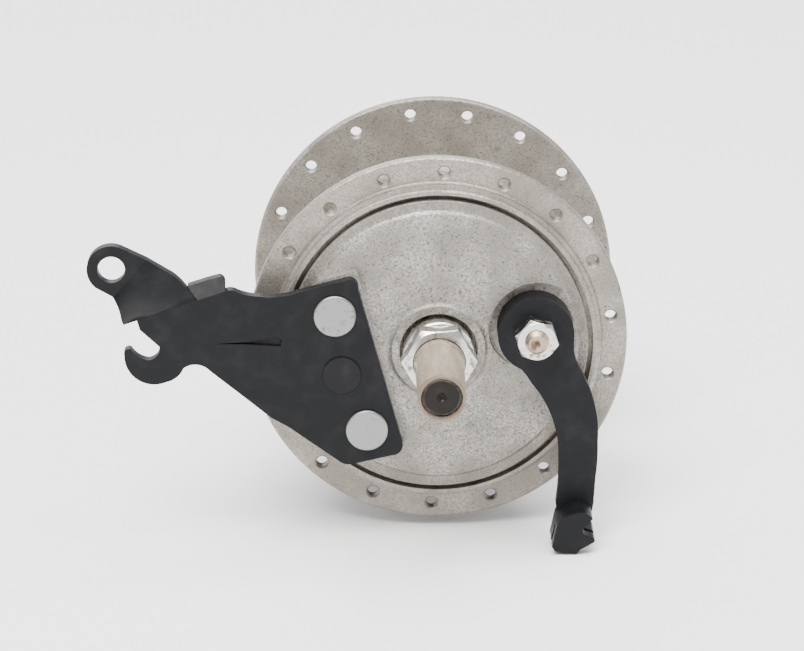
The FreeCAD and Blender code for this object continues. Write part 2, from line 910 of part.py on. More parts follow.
def make_cage():
    window_start = S.gear_y - 0.25
    window = S.gear_width + 0.5
    cage = revolved(
        "cage",
        [
            (S.axle_r + S.running_gap, 42.2),
            (7.4, 42.2),
            (7.4, 47),
            (S.cage_r, 47),
            (S.cage_r, S.cage_end_y),
            (8, S.cage_end_y),
            (8, window_start),
            (S.axle_r + S.running_gap, window_start),
        ],
    )
    sketch = circle_in(new_sketch(cage, "XZ_Plane", window_start), S.planet_orbit_r, 0, 8.1)
    pocketed(cage, sketch, window, PLANETS)
    sketch = circle_in(
        new_sketch(cage, "XZ_Plane", 48), S.planet_orbit_r, 0, S.planet_pin_r
    )
    pocketed(cage, sketch, S.cage_end_y - 47, PLANETS)
    for angle in LOW_PAWL_ANGLES:
        x, z = around(LOW_PIVOT_R, angle)
        sketch = circle_in(new_sketch(cage, "XZ_Plane", 46), x, z, LOW_PIN_R)
        pocketed(cage, sketch, 3)
    keep("planet_cage", cage)
    pins = []
    for number, (x, z) in enumerate(planet_places(), start=1):
        pins.append(
            rod(
                "planet_pin_%d" % number,
                S.planet_pin_r,
                S.planet_orbit_r * x,
                48,
                S.planet_orbit_r * z,
                S.dog_y - 0.5 - 48,
            )
        )
    keep("planet_pins", grouped("planet_pin_set", pins))


def make_ring():
    ring = revolved(
        "ring_blank",
        [
            (S.ring_bore_r - 1.43, S.gear_y - 0.5),
            (S.ring_r - 0.4, S.gear_y - 0.5),
            (S.ring_r, S.gear_y - 0.1),
            (S.ring_r, S.ring_end_y),
            (S.dog_r, S.ring_end_y),
            (S.dog_r, S.dog_y),
            (S.ring_bore_r, S.dog_y),
            (S.ring_bore_r, S.gear_y + S.gear_width + 0.8),
            (S.ring_bore_r - 1.43, S.gear_y + S.gear_width + 0.8),
        ],
    )
    pitch = 360.0 / DOG_GAPS
    half = S.clutch_arm_half + 0.07
    bars = []
    for number in range(DOG_GAPS):
        angle = pitch * number
        if angle % 180 == RING_PAWL_ANGLES[0] % 180:
            continue
        bar = doc.addObject("Part::Box", "dog_gap_%d" % number)
        bind(bar, "Length", 7)
        bind(bar, "Width", half * 2)
        bind(bar, "Height", S.ring_end_y + 1 - S.dog_y)
        place_gap_bar(bar, angle, float(half))
        bars.append(bar)
    open_bars = fused("dog_gaps", bars)
    limit = rod("dog_gap_limit", S.ring_bore_r, 0, S.dog_y - 1, 0, S.ring_end_y + 2 - S.dog_y)
    gaps = boolean("Common", "dog_gap_cutter", open_bars, limit)
    ring = boolean("Cut", "ring_with_dogs", ring, gaps)
    teeth = int(float(S.ring_teeth))
    module = float(S.gear_module)
    pitch_r = module * teeth / 2
    outline = toothed_wire(
        teeth, pitch_r - 1.3 * module, float(S.ring_bore_r), -TOOTH_THINNING, 180.0 / teeth
    )
    face = Part.Face(outline)
    face.translate(Vector(0, float(S.gear_y) - 1, 0))
    spaces = set_shape("ring_tooth_spaces", face.extrude(Vector(0, float(S.gear_width) + 2, 0)))
    ring = boolean("Cut", "ring_with_teeth", ring, spaces)
    pin_holes = fused("ring_pin_holes", ring_pawl_rods("ring_pin_hole", S.dog_y + 4.5, 5))
    keep("gear_ring", boolean("Cut", "ring_body", ring, pin_holes))
    pins = ring_pawl_rods("ring_pawl_pin", S.dog_y + 4.5, S.ring_end_y + 5 - S.dog_y - 4.5)
    keep("ring_pawl_pins", grouped("ring_pawl_pin_set", pins))


def place_gap_bar(bar, angle, half):
    """Lay a bar along a radius: its length runs outwards and its height along the hub axis."""
    inner = float(S.dog_r) - 2
    turn = Rotation(Vector(0, 1, 0), -angle) * Rotation(Vector(1, 0, 0), -90)
    corner = Rotation(Vector(0, 1, 0), -angle).multVec(Vector(inner, 0, half))
    bar.Placement = Placement(corner + Vector(0, float(S.dog_y), 0), turn)
    bind(bar, ".Placement.Base.y", S.dog_y)


# ---------------------------------------------------------------- pawls


def ring_pawl_rods(name, start, depth):
    rods = []
    for number, angle in enumerate(RING_PAWL_ANGLES, start=1):
        x, z = around(RING_PIVOT_R, angle)
        rods.append(rod("%s_%d" % (name, number), RING_PIN_R, x, start, z, depth))
    return rods


def pawl_solid(outline, pivot_r, pivot_angle, pin_r, eye_r, start, depth):
    """A pawl over its outline of (along, out) points from its pivot, with an eye for its pin."""
    centre_x, centre_z = around(pivot_r, pivot_angle)
    out_x, out_z = around(1, pivot_angle)
    points = []
    for along, out in outline:
        points.append(
            (
                centre_x + out * out_x - along * out_z,
                centre_z + out * out_z + along * out_x,
            )
        )
    blank = prism_y(points, start, depth)
    centre = Vector(centre_x, start, centre_z)
    axis = Vector(0, 1, 0)
    eye = Part.makeCylinder(eye_r, depth, centre, axis)
    hole = Part.makeCylinder(pin_r + float(S.running_gap), depth + 2, centre - axis, axis)
    return blank.fuse(eye).removeSplitter().cut(hole)


RING_PAWL_OUTLINE = [
    (-0.3, 1.4),
    (4.2, 1.62),
    (8.31, 1.76),
    (7.24, -1.04),
    (3.5, -0.85),
    (0.9, -1.1),
    (0.0, -0.9),
]
LOW_PAWL_OUTLINE = [
    (0.2, 2.0),
    (4.2, 1.7),
    (7.62, 0.85),
    (5.99, -0.8),
    (3.2, -1.6),
    (0.6, -1.9),
]


def make_pawls():
    """Ring pawls are stored engaged, low-gear pawls folded as the ratchet's crests hold them."""
    for number, angle in enumerate(RING_PAWL_ANGLES, start=1):
        start = float(S.ring_end_y) + 0.3
        pawl = pawl_solid(
            RING_PAWL_OUTLINE, RING_PIVOT_R, angle, RING_PIN_R, RING_EYE_R, start, 4
        )
        keep("ring_pawl_%d" % number, set_shape("ring_pawl_shape_%d" % number, pawl))
    for number, angle in enumerate(LOW_PAWL_ANGLES, start=1):
        pawl = pawl_solid(LOW_PAWL_OUTLINE, LOW_PIVOT_R, angle, LOW_PIN_R, LOW_EYE_R, 42.7, 4)
        keep("low_pawl_%d" % number, set_shape("low_pawl_shape_%d" % number, pawl))
    pins = []
    for number, angle in enumerate(LOW_PAWL_ANGLES, start=1):
        x, z = around(LOW_PIVOT_R, angle)
        pins.append(rod("low_pawl_pin_%d" % number, LOW_PIN_R, x, 42.3, z, 6.7))
    keep("low_pawl_pins", grouped("low_pawl_pin_set", pins))
    ring_coils = hairpins("ring_hairpin", RING_PIVOT_R, RING_PIN_R, RING_PAWL_ANGLES, 82.45)
    keep("ring_pawl_springs", ring_coils)
    low_coils = hairpins("low_hairpin", LOW_PIVOT_R, LOW_PIN_R, LOW_PAWL_ANGLES, 46.85)
    keep("low_pawl_springs", low_coils)


def hairpins(name, pivot_r, pin_r, angles, depth):
    """The wire turn of each pawl spring, lying round its pin beside the pawl."""
    rings = []
    for number, angle in enumerate(angles, start=1):
        x, z = around(pivot_r, angle)
        ring = doc.addObject("Part::Torus", "%s_%d" % (name, number))
        ring.Radius1 = pin_r + 0.2
        ring.Radius2 = 0.14
        rings.append(along_y(ring, x, depth, z))
    return grouped(name + "_set", rings)


# ---------------------------------------------------------------- clutch, selector and driver


def make_clutch():
    hub = revolved(
        "clutch_hub", tube_profile(S.axle_r + S.running_gap, 9.2, S.clutch_y, S.clutch_y + 4.3)
    )
    arm_half = S.clutch_arm_half
    for number in range(PLANETS):
        angle = CLUTCH_ANGLE + 90 * number
        out_x, out_z = around(1, angle)
        side_x, side_z = -out_z, out_x
        corners = []
        for reach, side in ((8, -1), (S.clutch_arm_r, -1), (S.clutch_arm_r, 1), (8, 1)):
            across = arm_half * side
            corners.append((reach * out_x + across * side_x, reach * out_z + across * side_z))
        sketch = closed_outline(new_sketch(hub, "XZ_Plane", S.clutch_y), corners)
        padded(hub, sketch, S.clutch_arm_depth)
    keep("clutch", hub)
    ring = revolved(
        "thrust", tube_profile(S.axle_r + S.running_gap, 10.1, S.key_y - 1.6, S.key_y + 1.7, 0.3)
    )
    passage = cross_key("thrust_key_hole", S.key_r, 10.6)
    keep("thrust_ring", boolean("Cut", "thrust_body", ring, passage))
    key = cross_key("key_bar", S.key_r, 9.6)
    socket = rod("key_socket", 1.2, 0, S.key_y - 1, 0, 4)
    keep("axle_key", boolean("Cut", "key_body", key, socket))
    keep("indicator_rod", make_indicator_rod())


def cross_key(name, radius, half_length):
    """A round bar through the axle along X at the key's place."""
    bar = doc.addObject("Part::Cylinder", name)
    bind(bar, "Radius", radius)
    bind(bar, "Height", half_length * 2)
    bar.Placement = Placement(Vector(-half_length, 0, 0), Rotation(Vector(0, 1, 0), 90))
    bind(bar, ".Placement.Base.y", S.key_y)
    return bar


def make_indicator_rod():
    """A thin rod screwed into the key; its flattened outer end has an eye for the gear chain."""
    end = S.axle_right_y + 1
    shank = rod("indicator_shank", 1.2, 0, S.key_y - 1, 0, end - S.key_y + 1)
    tongue = doc.addObject("Part::Box", "indicator_tongue")
    bind(tongue, "Length", 3.4)
    bind(tongue, "Width", 5)
    bind(tongue, "Height", 1.2)
    tongue.Placement = Placement(Vector(-1.7, 0, -0.6), Rotation())
    bind(tongue, ".Placement.Base.y", end - 0.5)
    whole = fused("indicator_blank", [shank, tongue])
    eye = doc.addObject("Part::Cylinder", "indicator_eye")
    bind(eye, "Radius", 0.9)
    bind(eye, "Height", 4)
    eye.Placement = Placement(Vector(0, 0, -2), Rotation())
    bind(eye, ".Placement.Base.y", end + 2.9)
    return boolean("Cut", "indicator_body", whole, eye)


def make_spring():
    """The clutch spring: a round wire wound about the axle between the cap and the right cone."""
    cap_start = S.key_y + 1.75
    seat = tube_profile(S.axle_r + S.running_gap, 9.2, cap_start, cap_start + 0.8)
    cap = revolved("spring_seat", seat)
    keep("spring_cap", cap)
    wire_r = 0.5
    start = float(cap_start) + 0.8 + wire_r + 0.02
    lean = float(S.ball_r) * SQUARE_ROOT_HALF + 0.015
    end = float(S.cone_race_y) + lean - 4.7 - wire_r - 0.02
    coil_r = 6.9
    turns = 6
    helix = Part.makeLongHelix((end - start) / turns, end - start, coil_r)
    section = Part.Wire(Part.makeCircle(wire_r, Vector(coil_r, 0, 0), Vector(0, 1, 0)))
    coil = Part.Wire(helix.Edges).makePipeShell([section], True, True)
    turned = Placement(Vector(0, start, 0), Rotation(Vector(1, 0, 0), -90))
    coil.Placement = turned
    keep("clutch_spring", set_shape("spring_coil", Part.makeSolid(coil.Shells[0])))


def make_driver():
    lean = S.ball_r * SQUARE_ROOT_HALF + 0.015
    outer_r = S.driver_race_r - lean
    outer_y = S.driver_race_y + lean
    inner_r = S.cone_race_r + lean
    inner_y = S.cone_race_y - lean
    shoulder_y = S.sprocket_y - 2.5
    clip_y = S.driver_end_y - 2.5
    driver = revolved(
        "driver_blank",
        [
            (S.driver_bore_r, S.clutch_y - 0.4),
            (S.driver_tube_r, S.clutch_y - 0.4),
            (S.driver_tube_r, outer_y - (outer_r - S.driver_tube_r)),
            (S.driver_race_r + 0.1, outer_y + (S.driver_race_r + 0.1 - outer_r)),
            (S.driver_race_r + 0.1, shoulder_y),
            (S.driver_seat_r, shoulder_y),
            (S.driver_seat_r, clip_y),
            (S.driver_seat_r - 0.8, clip_y),
            (S.driver_seat_r - 0.8, clip_y + 1.2),
            (S.driver_seat_r, clip_y + 1.2),
            (S.driver_seat_r, S.driver_end_y - 0.4),
            (S.driver_seat_r - 0.4, S.driver_end_y),
            (inner_r + 1.8, S.driver_end_y),
            (inner_r + 1.8, inner_y + 1.8),
            (S.cone_race_r, inner_y - (inner_r - S.cone_race_r)),
            (S.cone_race_r, 83),
            (S.driver_bore_r, 83),
        ],
    )
    slot_half = S.clutch_arm_half + 0.07
    inner = 12
    x, z = around(1, CLUTCH_ANGLE)
    corners = []
    for reach, side in ((inner, -1), (20, -1), (20, 1), (inner, 1)):
        across = slot_half * side
        corners.append((reach * x - across * z, reach * z + across * x))
    sketch = closed_outline(new_sketch(driver, "XZ_Plane", S.clutch_y - 1), corners)
    slot_end = S.clutch_y + S.clutch_arm_depth + S.selector_travel + 0.4
    pocketed(driver, sketch, slot_end - S.clutch_y + 1, PLANETS)
    sketch = new_sketch(driver, "XZ_Plane", shoulder_y)
    lug_half = 2.6
    closed_outline(sketch, [(15.6, -lug_half), (19, -lug_half), (19, lug_half), (15.6, lug_half)])
    pocketed(driver, sketch, S.driver_end_y - shoulder_y + 1, 3)
    keep("driver", driver)
    cover = tube_profile(11.3, inner_r + 1.8, S.driver_end_y - 1.2, S.driver_end_y - 0.4)
    keep("driver_dust_cap", revolved("driver_cover", cover))


def make_sprocket():
    teeth = int(float(S.sprocket_teeth))
    pitch_r = S.chain_pitch / (2 * math.sin(math.pi / teeth))
    tip_r = pitch_r + 2.3
    start = S.sprocket_y
    end = start + S.sprocket_depth
    blank = revolved(
        "sprocket_blank",
        [
            (S.driver_seat_r + 0.1, start),
            (tip_r - 2.6, start),
            (tip_r, start + 0.7, 6),
            (tip_r, end - 0.7),
            (tip_r - 2.6, end, 6),
            (S.driver_seat_r + 0.1, end),
        ],
    )
    seat = new_sketch(blank, "XZ_Plane", start - 1)
    reach = float(pitch_r)
    roller = float(S.roller_r)
    opening = math.radians(28)
    side = roller * math.cos(opening)
    drop = roller * math.sin(opening)
    flare = side + 4 * math.tan(opening)
    closed_outline(
        seat,
        [
            (reach - drop, -side, -roller),
            (reach + 4, -flare),
            (reach + 4, flare),
            (reach - drop, side),
            (reach - roller, 0, -roller),
        ],
    )
    pocketed(blank, seat, S.sprocket_depth + 2, S.sprocket_teeth)
    lug = new_sketch(blank, "XZ_Plane", start)
    lug_half = 2.5
    closed_outline(lug, [(15.8, -lug_half), (18.2, -lug_half), (18.2, lug_half), (15.8, lug_half)])
    pad = padded(blank, lug, S.sprocket_depth)
    around_axis(blank, pad, 3)
    keep("sprocket", blank)
    inner = S.driver_seat_r + 0.05
    rings = [
        revolved("inner_spacer", tube_profile(inner, 21.5, start - 2.5, start, 0.2)),
        revolved("outer_spacer", tube_profile(inner, 21.5, end, S.driver_end_y - 2.5, 0.2)),
    ]
    keep("sprocket_spacers", grouped("spacer_pair", rings))
    clip_inner = S.driver_seat_r - 0.8
    clip_outer = S.driver_seat_r + 1.3
    clip_profile = tube_profile(clip_inner, clip_outer, S.driver_end_y - 2.5, S.driver_end_y - 1.4)
    clip = revolved("clip_ring", clip_profile)
    gap = new_sketch(clip, "XZ_Plane", S.driver_end_y - 3)
    closed_outline(gap, [(-3, 14), (3, 14), (4, 20), (-4, 20)])
    pocketed(clip, gap, 3)
    keep("sprocket_circlip", clip)


# ---------------------------------------------------------------- drum brake


def plate_dome_y(radius):
    """The height of the brake plate's domed front at a radius."""
    rise = (float(S.plate_rim_y) - 0.8) - (float(S.plate_crown_y) + 0.7)
    share = (radius - 13.4) / (36.0 - 13.4)
    return float(S.plate_crown_y) + 0.7 + rise * share


ARM_EDGE = [
    (-20.6, 21.9),
    (-9.2, -25.5),
    (-13.0, -28.8),
    (-24.0, -31.0),
    (-31.0, -25.0),
    (-36.5, -12.0),
    (-37.5, 17.5),
]


def make_brake_plate():
    rim = S.plate_rim_y
    crown = S.plate_crown_y
    plate = revolved(
        "plate",
        [
            (S.axle_r, S.recess_y),
            (S.recess_r, S.recess_y),
            (S.recess_r, crown + 0.3),
            (S.recess_r + 0.3, crown, 0.3),
            (12, crown),
            (13.6, crown + 0.8, -2),
            (35.4, rim - 0.9, 75),
            (36.4, rim, -2),
            (S.plate_r - 0.3, rim),
            (S.plate_r, rim + 0.3, 0.3),
            (S.plate_r, S.plate_back_y),
            (34.2, S.plate_back_y),
            (33.4, S.plate_back_y - 0.4),
            (14.6, 14.6),
            (14, S.plate_hub_y),
            (S.axle_r, S.plate_hub_y),
        ],
    )
    sketch = closed_outline(new_sketch(plate, "XZ_Plane", S.arm_front_y + S.arm_depth), ARM_EDGE)
    padded(plate, sketch, 5)
    grooved(plate, [(36.2, 5), (60, 5), (60, rim), (36.2, rim)])
    for x, z, radius in back_bosses():
        sketch = circle_in(new_sketch(plate, "XZ_Plane", 14), x, z, radius)
        padded(plate, sketch, S.plate_back_y - 14)
    sketch = circle_in(
        new_sketch(plate, "XZ_Plane", 5), S.pivot_x, S.pivot_z, S.pocket_r
    )
    pocketed(plate, sketch, S.pocket_y - 5)
    dish = doc.addObject("Part::Sphere", "lever_dish")
    dish_r = 62
    bind(dish, "Radius", dish_r)
    dish_x, dish_z = 25.5, -13.5
    dish_y = plate_dome_y(math.hypot(dish_x, dish_z)) + 1.9 - dish_r
    dish.Placement = Placement(Vector(dish_x, dish_y, dish_z), Rotation())
    reach = rod("dish_reach", 35.6, 0, 5, 0, 12)
    hub_clear = rod("dish_hub_clear", 13.8, 0, 4, 0, 14)
    limit = boolean("Cut", "dish_limit", reach, hub_clear)
    dish_cut = boolean("Common", "dish_cutter", dish, limit)
    plate = boolean("Cut", "plate_dished", plate, dish_cut)
    holes = [rod("plate_cam_hole", 7, S.pivot_x, 4, S.pivot_z, 20)]
    holes.append(rod("plate_fulcrum_hole", S.fulcrum_r, -S.pivot_x, 4, -S.pivot_z, 20))
    for number, (x, z) in enumerate(RIVET_PLACES, start=1):
        holes.append(rod("plate_rivet_hole_%d" % number, RIVET_SHANK_R, x, 4, z, 20))
    keep("brake_plate", boolean("Cut", "plate_body", plate, fused("plate_holes", holes)))
    bush_rod = rod("bush_blank", 7, S.pivot_x, S.pocket_y, S.pivot_z, S.plate_back_y - S.pocket_y)
    bush_bore = rod(
        "bush_bore", S.spindle_r + S.running_gap, S.pivot_x, S.pocket_y - 1, S.pivot_z, 8
    )
    keep("cam_bush", boolean("Cut", "bush_body", bush_rod, bush_bore))


RIVET_PLACES = [(-26.4, 10.9), (-18.7, -20.1)]
RIVET_SHANK_R = 3.0


def back_bosses():
    """Where the plate is thickened inside, behind the cam bush, the fulcrum and the rivets."""
    bosses = [(S.pivot_x, S.pivot_z, 11), (-S.pivot_x, -S.pivot_z, 8)]
    return bosses + [(x, z, 6) for x, z in RIVET_PLACES]


def make_fulcrum():
    front = S.arm_front_y
    head = rod("fulcrum_head", S.fulcrum_r + 0.4, -S.pivot_x, front - 0.5, -S.pivot_z, 0.5)
    shank = rod("fulcrum_shank", S.fulcrum_r, -S.pivot_x, front, -S.pivot_z, 28)
    keep("fulcrum_pin", boolean("Fuse", "fulcrum_body", head, shank))
    rivets = []
    for number, (x, z) in enumerate(RIVET_PLACES, start=1):
        name = "rivet_%d_" % number
        face = cone(name + "face", S.rivet_r - 0.35, S.rivet_r, x, front - 0.9, z, 0.3)
        head = rod(name + "head", S.rivet_r, x, front - 0.6, z, 0.6)
        shank = rod(name + "shank", RIVET_SHANK_R, x, front, z, S.plate_back_y - front)
        tail = cone(name + "tail", 4.2, 3.4, x, S.plate_back_y, z, 0.6)
        rivets.append(fused(name + "body", [face, head, shank, tail]))
    keep("torque_arm_rivets", grouped("rivet_pair", rivets))


def make_cam():
    x, z = float(S.pivot_x), float(S.pivot_z)
    lean = math.degrees(math.atan2(z, x))
    spindle = rod("cam_spindle", S.spindle_r, S.pivot_x, S.pocket_y - 0.2, S.pivot_z, 4.3)
    half = 3.5
    square = doc.addObject("Part::Box", "cam_square")
    bind(square, "Length", half * 2)
    bind(square, "Width", S.pocket_y - 0.2 - S.lever_front_y)
    bind(square, "Height", half * 2)
    square.Placement = Placement(Vector(x - half, 0, z - half), Rotation())
    bind(square, ".Placement.Base.y", S.lever_front_y)
    stud = rod("cam_stud", 3, S.pivot_x, S.lever_front_y - 6.3, S.pivot_z, 6.3)
    tip = cone("cam_stud_tip", 2.5, 3, S.pivot_x, S.lever_front_y - 6.8, S.pivot_z, 0.5)
    blade = doc.addObject("Part::Box", "cam_blade")
    bind(blade, "Length", 9)
    bind(blade, "Width", 16)
    bind(blade, "Height", S.cam_half * 2)
    turn = Rotation(Vector(0, 1, 0), -lean)
    corner = turn.multVec(Vector(-4.5, 0, -float(S.cam_half)))
    blade.Placement = Placement(Vector(x, 0, z) + corner, turn)
    bind(blade, ".Placement.Base.y", S.plate_back_y + 0.5)
    keep("brake_cam", fused("cam_body", [spindle, square, stud, tip, blade]))
    nut_front = S.lever_front_y - 5
    hexagon_nut("lever_nut", Size(10), 3, S.pivot_x, nut_front, S.pivot_z, 5, True, False, 13)


LEVER_OUTLINE = [
    (18.0, -1.6),
    (23.5, -7.6, -14),
    (30.6, -28.0, -31),
    (29.8, -41.0, -70),
    (30.2, -43.4),
    (39.2, -43.0),
    (39.6, -41.0),
    (40.1, -34.0),
    (40.7, -24.0, 60),
    (36.2, -4.6, 34),
    (34.6, 3.6, -14),
    (26.0, 8.0),
]
LUG_OUTLINE = [
    (28.4, -49.4),
    (29.7, -43.6),
    (32.2, -41.1, -4),
    (36.4, -40.1, -9),
    (38.9, -41.9, -3.4),
    (37.3, -43.8),
    (36.9, -46.2, 1.4),
    (38.2, -46.8),
    (39.4, -48.2, -1.1),
    (35.8, -50.2),
    (34.7, -51.4),
    (29.2, -50.7),
]
LUG_REACH = 9
LUG_SLOT = 2.0


def make_lever():
    """A forged lever: a deep round head, a curved blade and a turned-out lug for the cable's end."""
    front = S.lever_front_y
    blade = new_body("lever_blade")
    sketch = closed_outline(new_sketch(blade, "XZ_Plane", front), LEVER_OUTLINE)
    padded(blade, sketch, S.lever_depth)
    head_depth = S.pocket_y - 0.3 - front
    head = rod("lever_head", S.lever_head_r, S.pivot_x, front, S.pivot_z, head_depth)
    lug = new_body("lever_lug")
    sketch = closed_outline(new_sketch(lug, "XZ_Plane", front - LUG_REACH), LUG_OUTLINE)
    padded(lug, sketch, LUG_REACH + S.lever_depth)
    whole = fused("lever_blank", [blade, head, lug])
    slot = doc.addObject("Part::Box", "cable_slot")
    bind(slot, "Length", 16)
    bind(slot, "Width", LUG_SLOT)
    bind(slot, "Height", 8)
    slot.Placement = Placement(Vector(26, 0, -53), Rotation())
    bind(slot, ".Placement.Base.y", front - LUG_REACH / 2 - LUG_SLOT / 2)
    half = 3.5
    square = doc.addObject("Part::Box", "lever_square")
    bind(square, "Length", half * 2)
    bind(square, "Width", 20)
    bind(square, "Height", half * 2)
    square.Placement = Placement(
        Vector(float(S.pivot_x) - half, 0, float(S.pivot_z) - half), Rotation()
    )
    keep("brake_lever", boolean("Cut", "lever_body", whole, fused("lever_cuts", [slot, square])))


def fold_z(x):
    """The height of the straight line along which the arm's upper parts are folded back."""
    return 9.5 + (x + 80.0) * 0.328


RIVETED_OUTLINE = [
    (-22.6, 20.5),
    (-20.4, 17.6, -2.4),
    (-9.8, -23.2),
    (-12.4, -27.2, -2.8),
    (-22.6, -29.4),
    (-26.2, -28.4, -4),
    (-38.9, -18.9),
    (-43.2, -16.4),
    (-58.6, -3.4),
    (-65.4, -2.6, 5),
    (-69.8, -6.2, -6),
    (-80.4, 1.2, -7.6),
    (-78.6, 2.8, -1.3),
    (-74.4, -0.2, 6),
    (-71.4, 3.4, 3.1),
    (-76.2, 8.0),
    (-76.9, fold_z(-76.9)),
    (-54.1, fold_z(-54.1)),
    (-51.8, 18.0, -3),
    (-45.6, 16.4, 14),
    (-41.3, 16.2, 12),
    (-36.0, 17.2, 16),
]
TAB_EYE = (-83.3, 22.4)
TAB_EYE_R = 6.3
TAB_HOLE_R = 3.5
TAB_FOLD = [(-80.0, fold_z(-80.0)), (-61.6, fold_z(-61.6))]
TAB_SECOND_FOLD = [(-81.3, 16.8), (-75.1, 23.9)]
TAB_SET_BACK = 5.6
STRIP_SET_BACK = 2.7


def make_torque_arm():
    """A pressed plate: a flat riveted part with an open hook, and a tab set back to hold a cable."""
    flat = new_body("arm_flat")
    sketch = closed_outline(new_sketch(flat, "XZ_Plane", S.arm_front_y), RIVETED_OUTLINE)
    padded(flat, sketch, S.arm_depth)
    tab = set_shape("arm_tab", arm_tab(float(S.arm_front_y), float(S.arm_depth)))
    strip = set_shape("arm_strip", arm_strip(float(S.arm_front_y), float(S.arm_depth)))
    whole = fused("arm_blank", [flat, tab, strip])
    holes = [rod("arm_fulcrum_hole", S.fulcrum_r, -S.pivot_x, 0, -S.pivot_z, 20)]
    for number, (x, z) in enumerate(RIVET_PLACES, start=1):
        holes.append(rod("arm_rivet_hole_%d" % number, RIVET_SHANK_R, x, 0, z, 20))
    keep("torque_arm", boolean("Cut", "arm_body", whole, fused("arm_holes", holes)))


def stretched(line, y, before, after):
    """The ends, in space, of an (x, z) line lengthened by shares of itself at each end."""
    (x1, z1), (x2, z2) = line
    first = Vector(x1 - (x2 - x1) * before, y, z1 - (z2 - z1) * before)
    last = Vector(x2 + (x2 - x1) * after, y, z2 + (z2 - z1) * after)
    return first, last


def ruled_slab(near_line, near_y, far_line, far_y, before, after, depth):
    """A sheet that runs straight from one fold line to the other, thickened towards +Y."""
    near = Part.makeLine(*stretched(near_line, near_y, before, after))
    far = Part.makeLine(*stretched(far_line, far_y, before, after))
    return Part.makeRuledSurface(near, far).extrude(Vector(0, depth, 0))


def curved_prism(points, start, depth):
    """A straight solid along Y over (x, z) points; (x, z, radius) arrives by an arc."""
    edges = []
    count = len(points)
    for i in range(count):
        first = Vector(points[i][0], points[i][1], 0)
        target = points[(i + 1) % count]
        last = Vector(target[0], target[1], 0)
        if len(target) == 3:
            edges.append(Part.Arc(first, arc_middle(first, last, target[2]), last).toShape())
        else:
            edges.append(Part.makeLine(first, last))
    face = Part.Face(Part.Wire(edges))
    face.rotate(Vector(0, 0, 0), Vector(1, 0, 0), 90)
    face.translate(Vector(0, start, 0))
    return face.extrude(Vector(0, depth, 0))


def arm_tab(front, depth):
    """The tab slopes back from its fold, then runs parallel again round the cable hole."""
    back = front + TAB_SET_BACK
    slope = ruled_slab(TAB_FOLD, front, TAB_SECOND_FOLD, back, 0.6, 1.4, depth)
    low, high = stretched(TAB_SECOND_FOLD, back, 0.6, 1.4)
    beyond = [(low.x, low.z), (high.x, high.z), (high.x - 40, high.z), (low.x - 20, low.z)]
    level = prism_y(beyond, back, depth)
    x, z = TAB_EYE
    outline = [
        (-79.9, 8.5),
        (-60.8, 14.6),
        (-64.6, 19.0),
        (-67.8, 21.6, 14),
        (-80.6, 28.1),
        (x - 5.9, z + 2.2, TAB_EYE_R),
        (x - 4.2, z - 4.7, TAB_EYE_R),
        (-83.4, 15.3),
        (-80.9, 10.4, -9),
    ]
    trim = curved_prism(outline, front - 1, TAB_SET_BACK + depth + 2)
    whole = slope.common(trim).fuse(level.common(trim))
    hole = Part.makeCylinder(TAB_HOLE_R, depth + 4, Vector(x, back - 2, z), Vector(0, 1, 0))
    return whole.cut(hole)


def arm_strip(front, depth):
    """The short stretch beside the tab, folded back along the same line and torn free of it."""
    near = [(-61.6, fold_z(-61.6)), (-54.1, fold_z(-54.1))]
    far = [(-62.6, 19.0), (-55.6, 21.2)]
    slope = ruled_slab(near, front, far, front + STRIP_SET_BACK, 0.5, 0.5, depth)
    outline = [(-60.4, 14.6), (-54.1, 16.8), (-54.2, 20.0), (-55.8, 21.0, 1.6), (-64.0, 18.8)]
    return curved_prism(outline, front - 1, STRIP_SET_BACK + depth + 2).common(slope)


def shoe_sector(inner_r, outer_r, start, depth, half_angle, towards):
    """A ring sector about the hub axis, centred on the direction towards, in degrees."""
    ring = Part.makeCylinder(outer_r, depth, Vector(0, start, 0), Vector(0, 1, 0))
    ring = ring.cut(Part.makeCylinder(inner_r, depth, Vector(0, start, 0), Vector(0, 1, 0)))
    wedge = [(0, 0)]
    for step in range(-4, 5):
        wedge.append(around(outer_r * 1.6, towards + half_angle * step / 4.0))
    return ring.common(prism_y(wedge, start - 1, depth + 2))


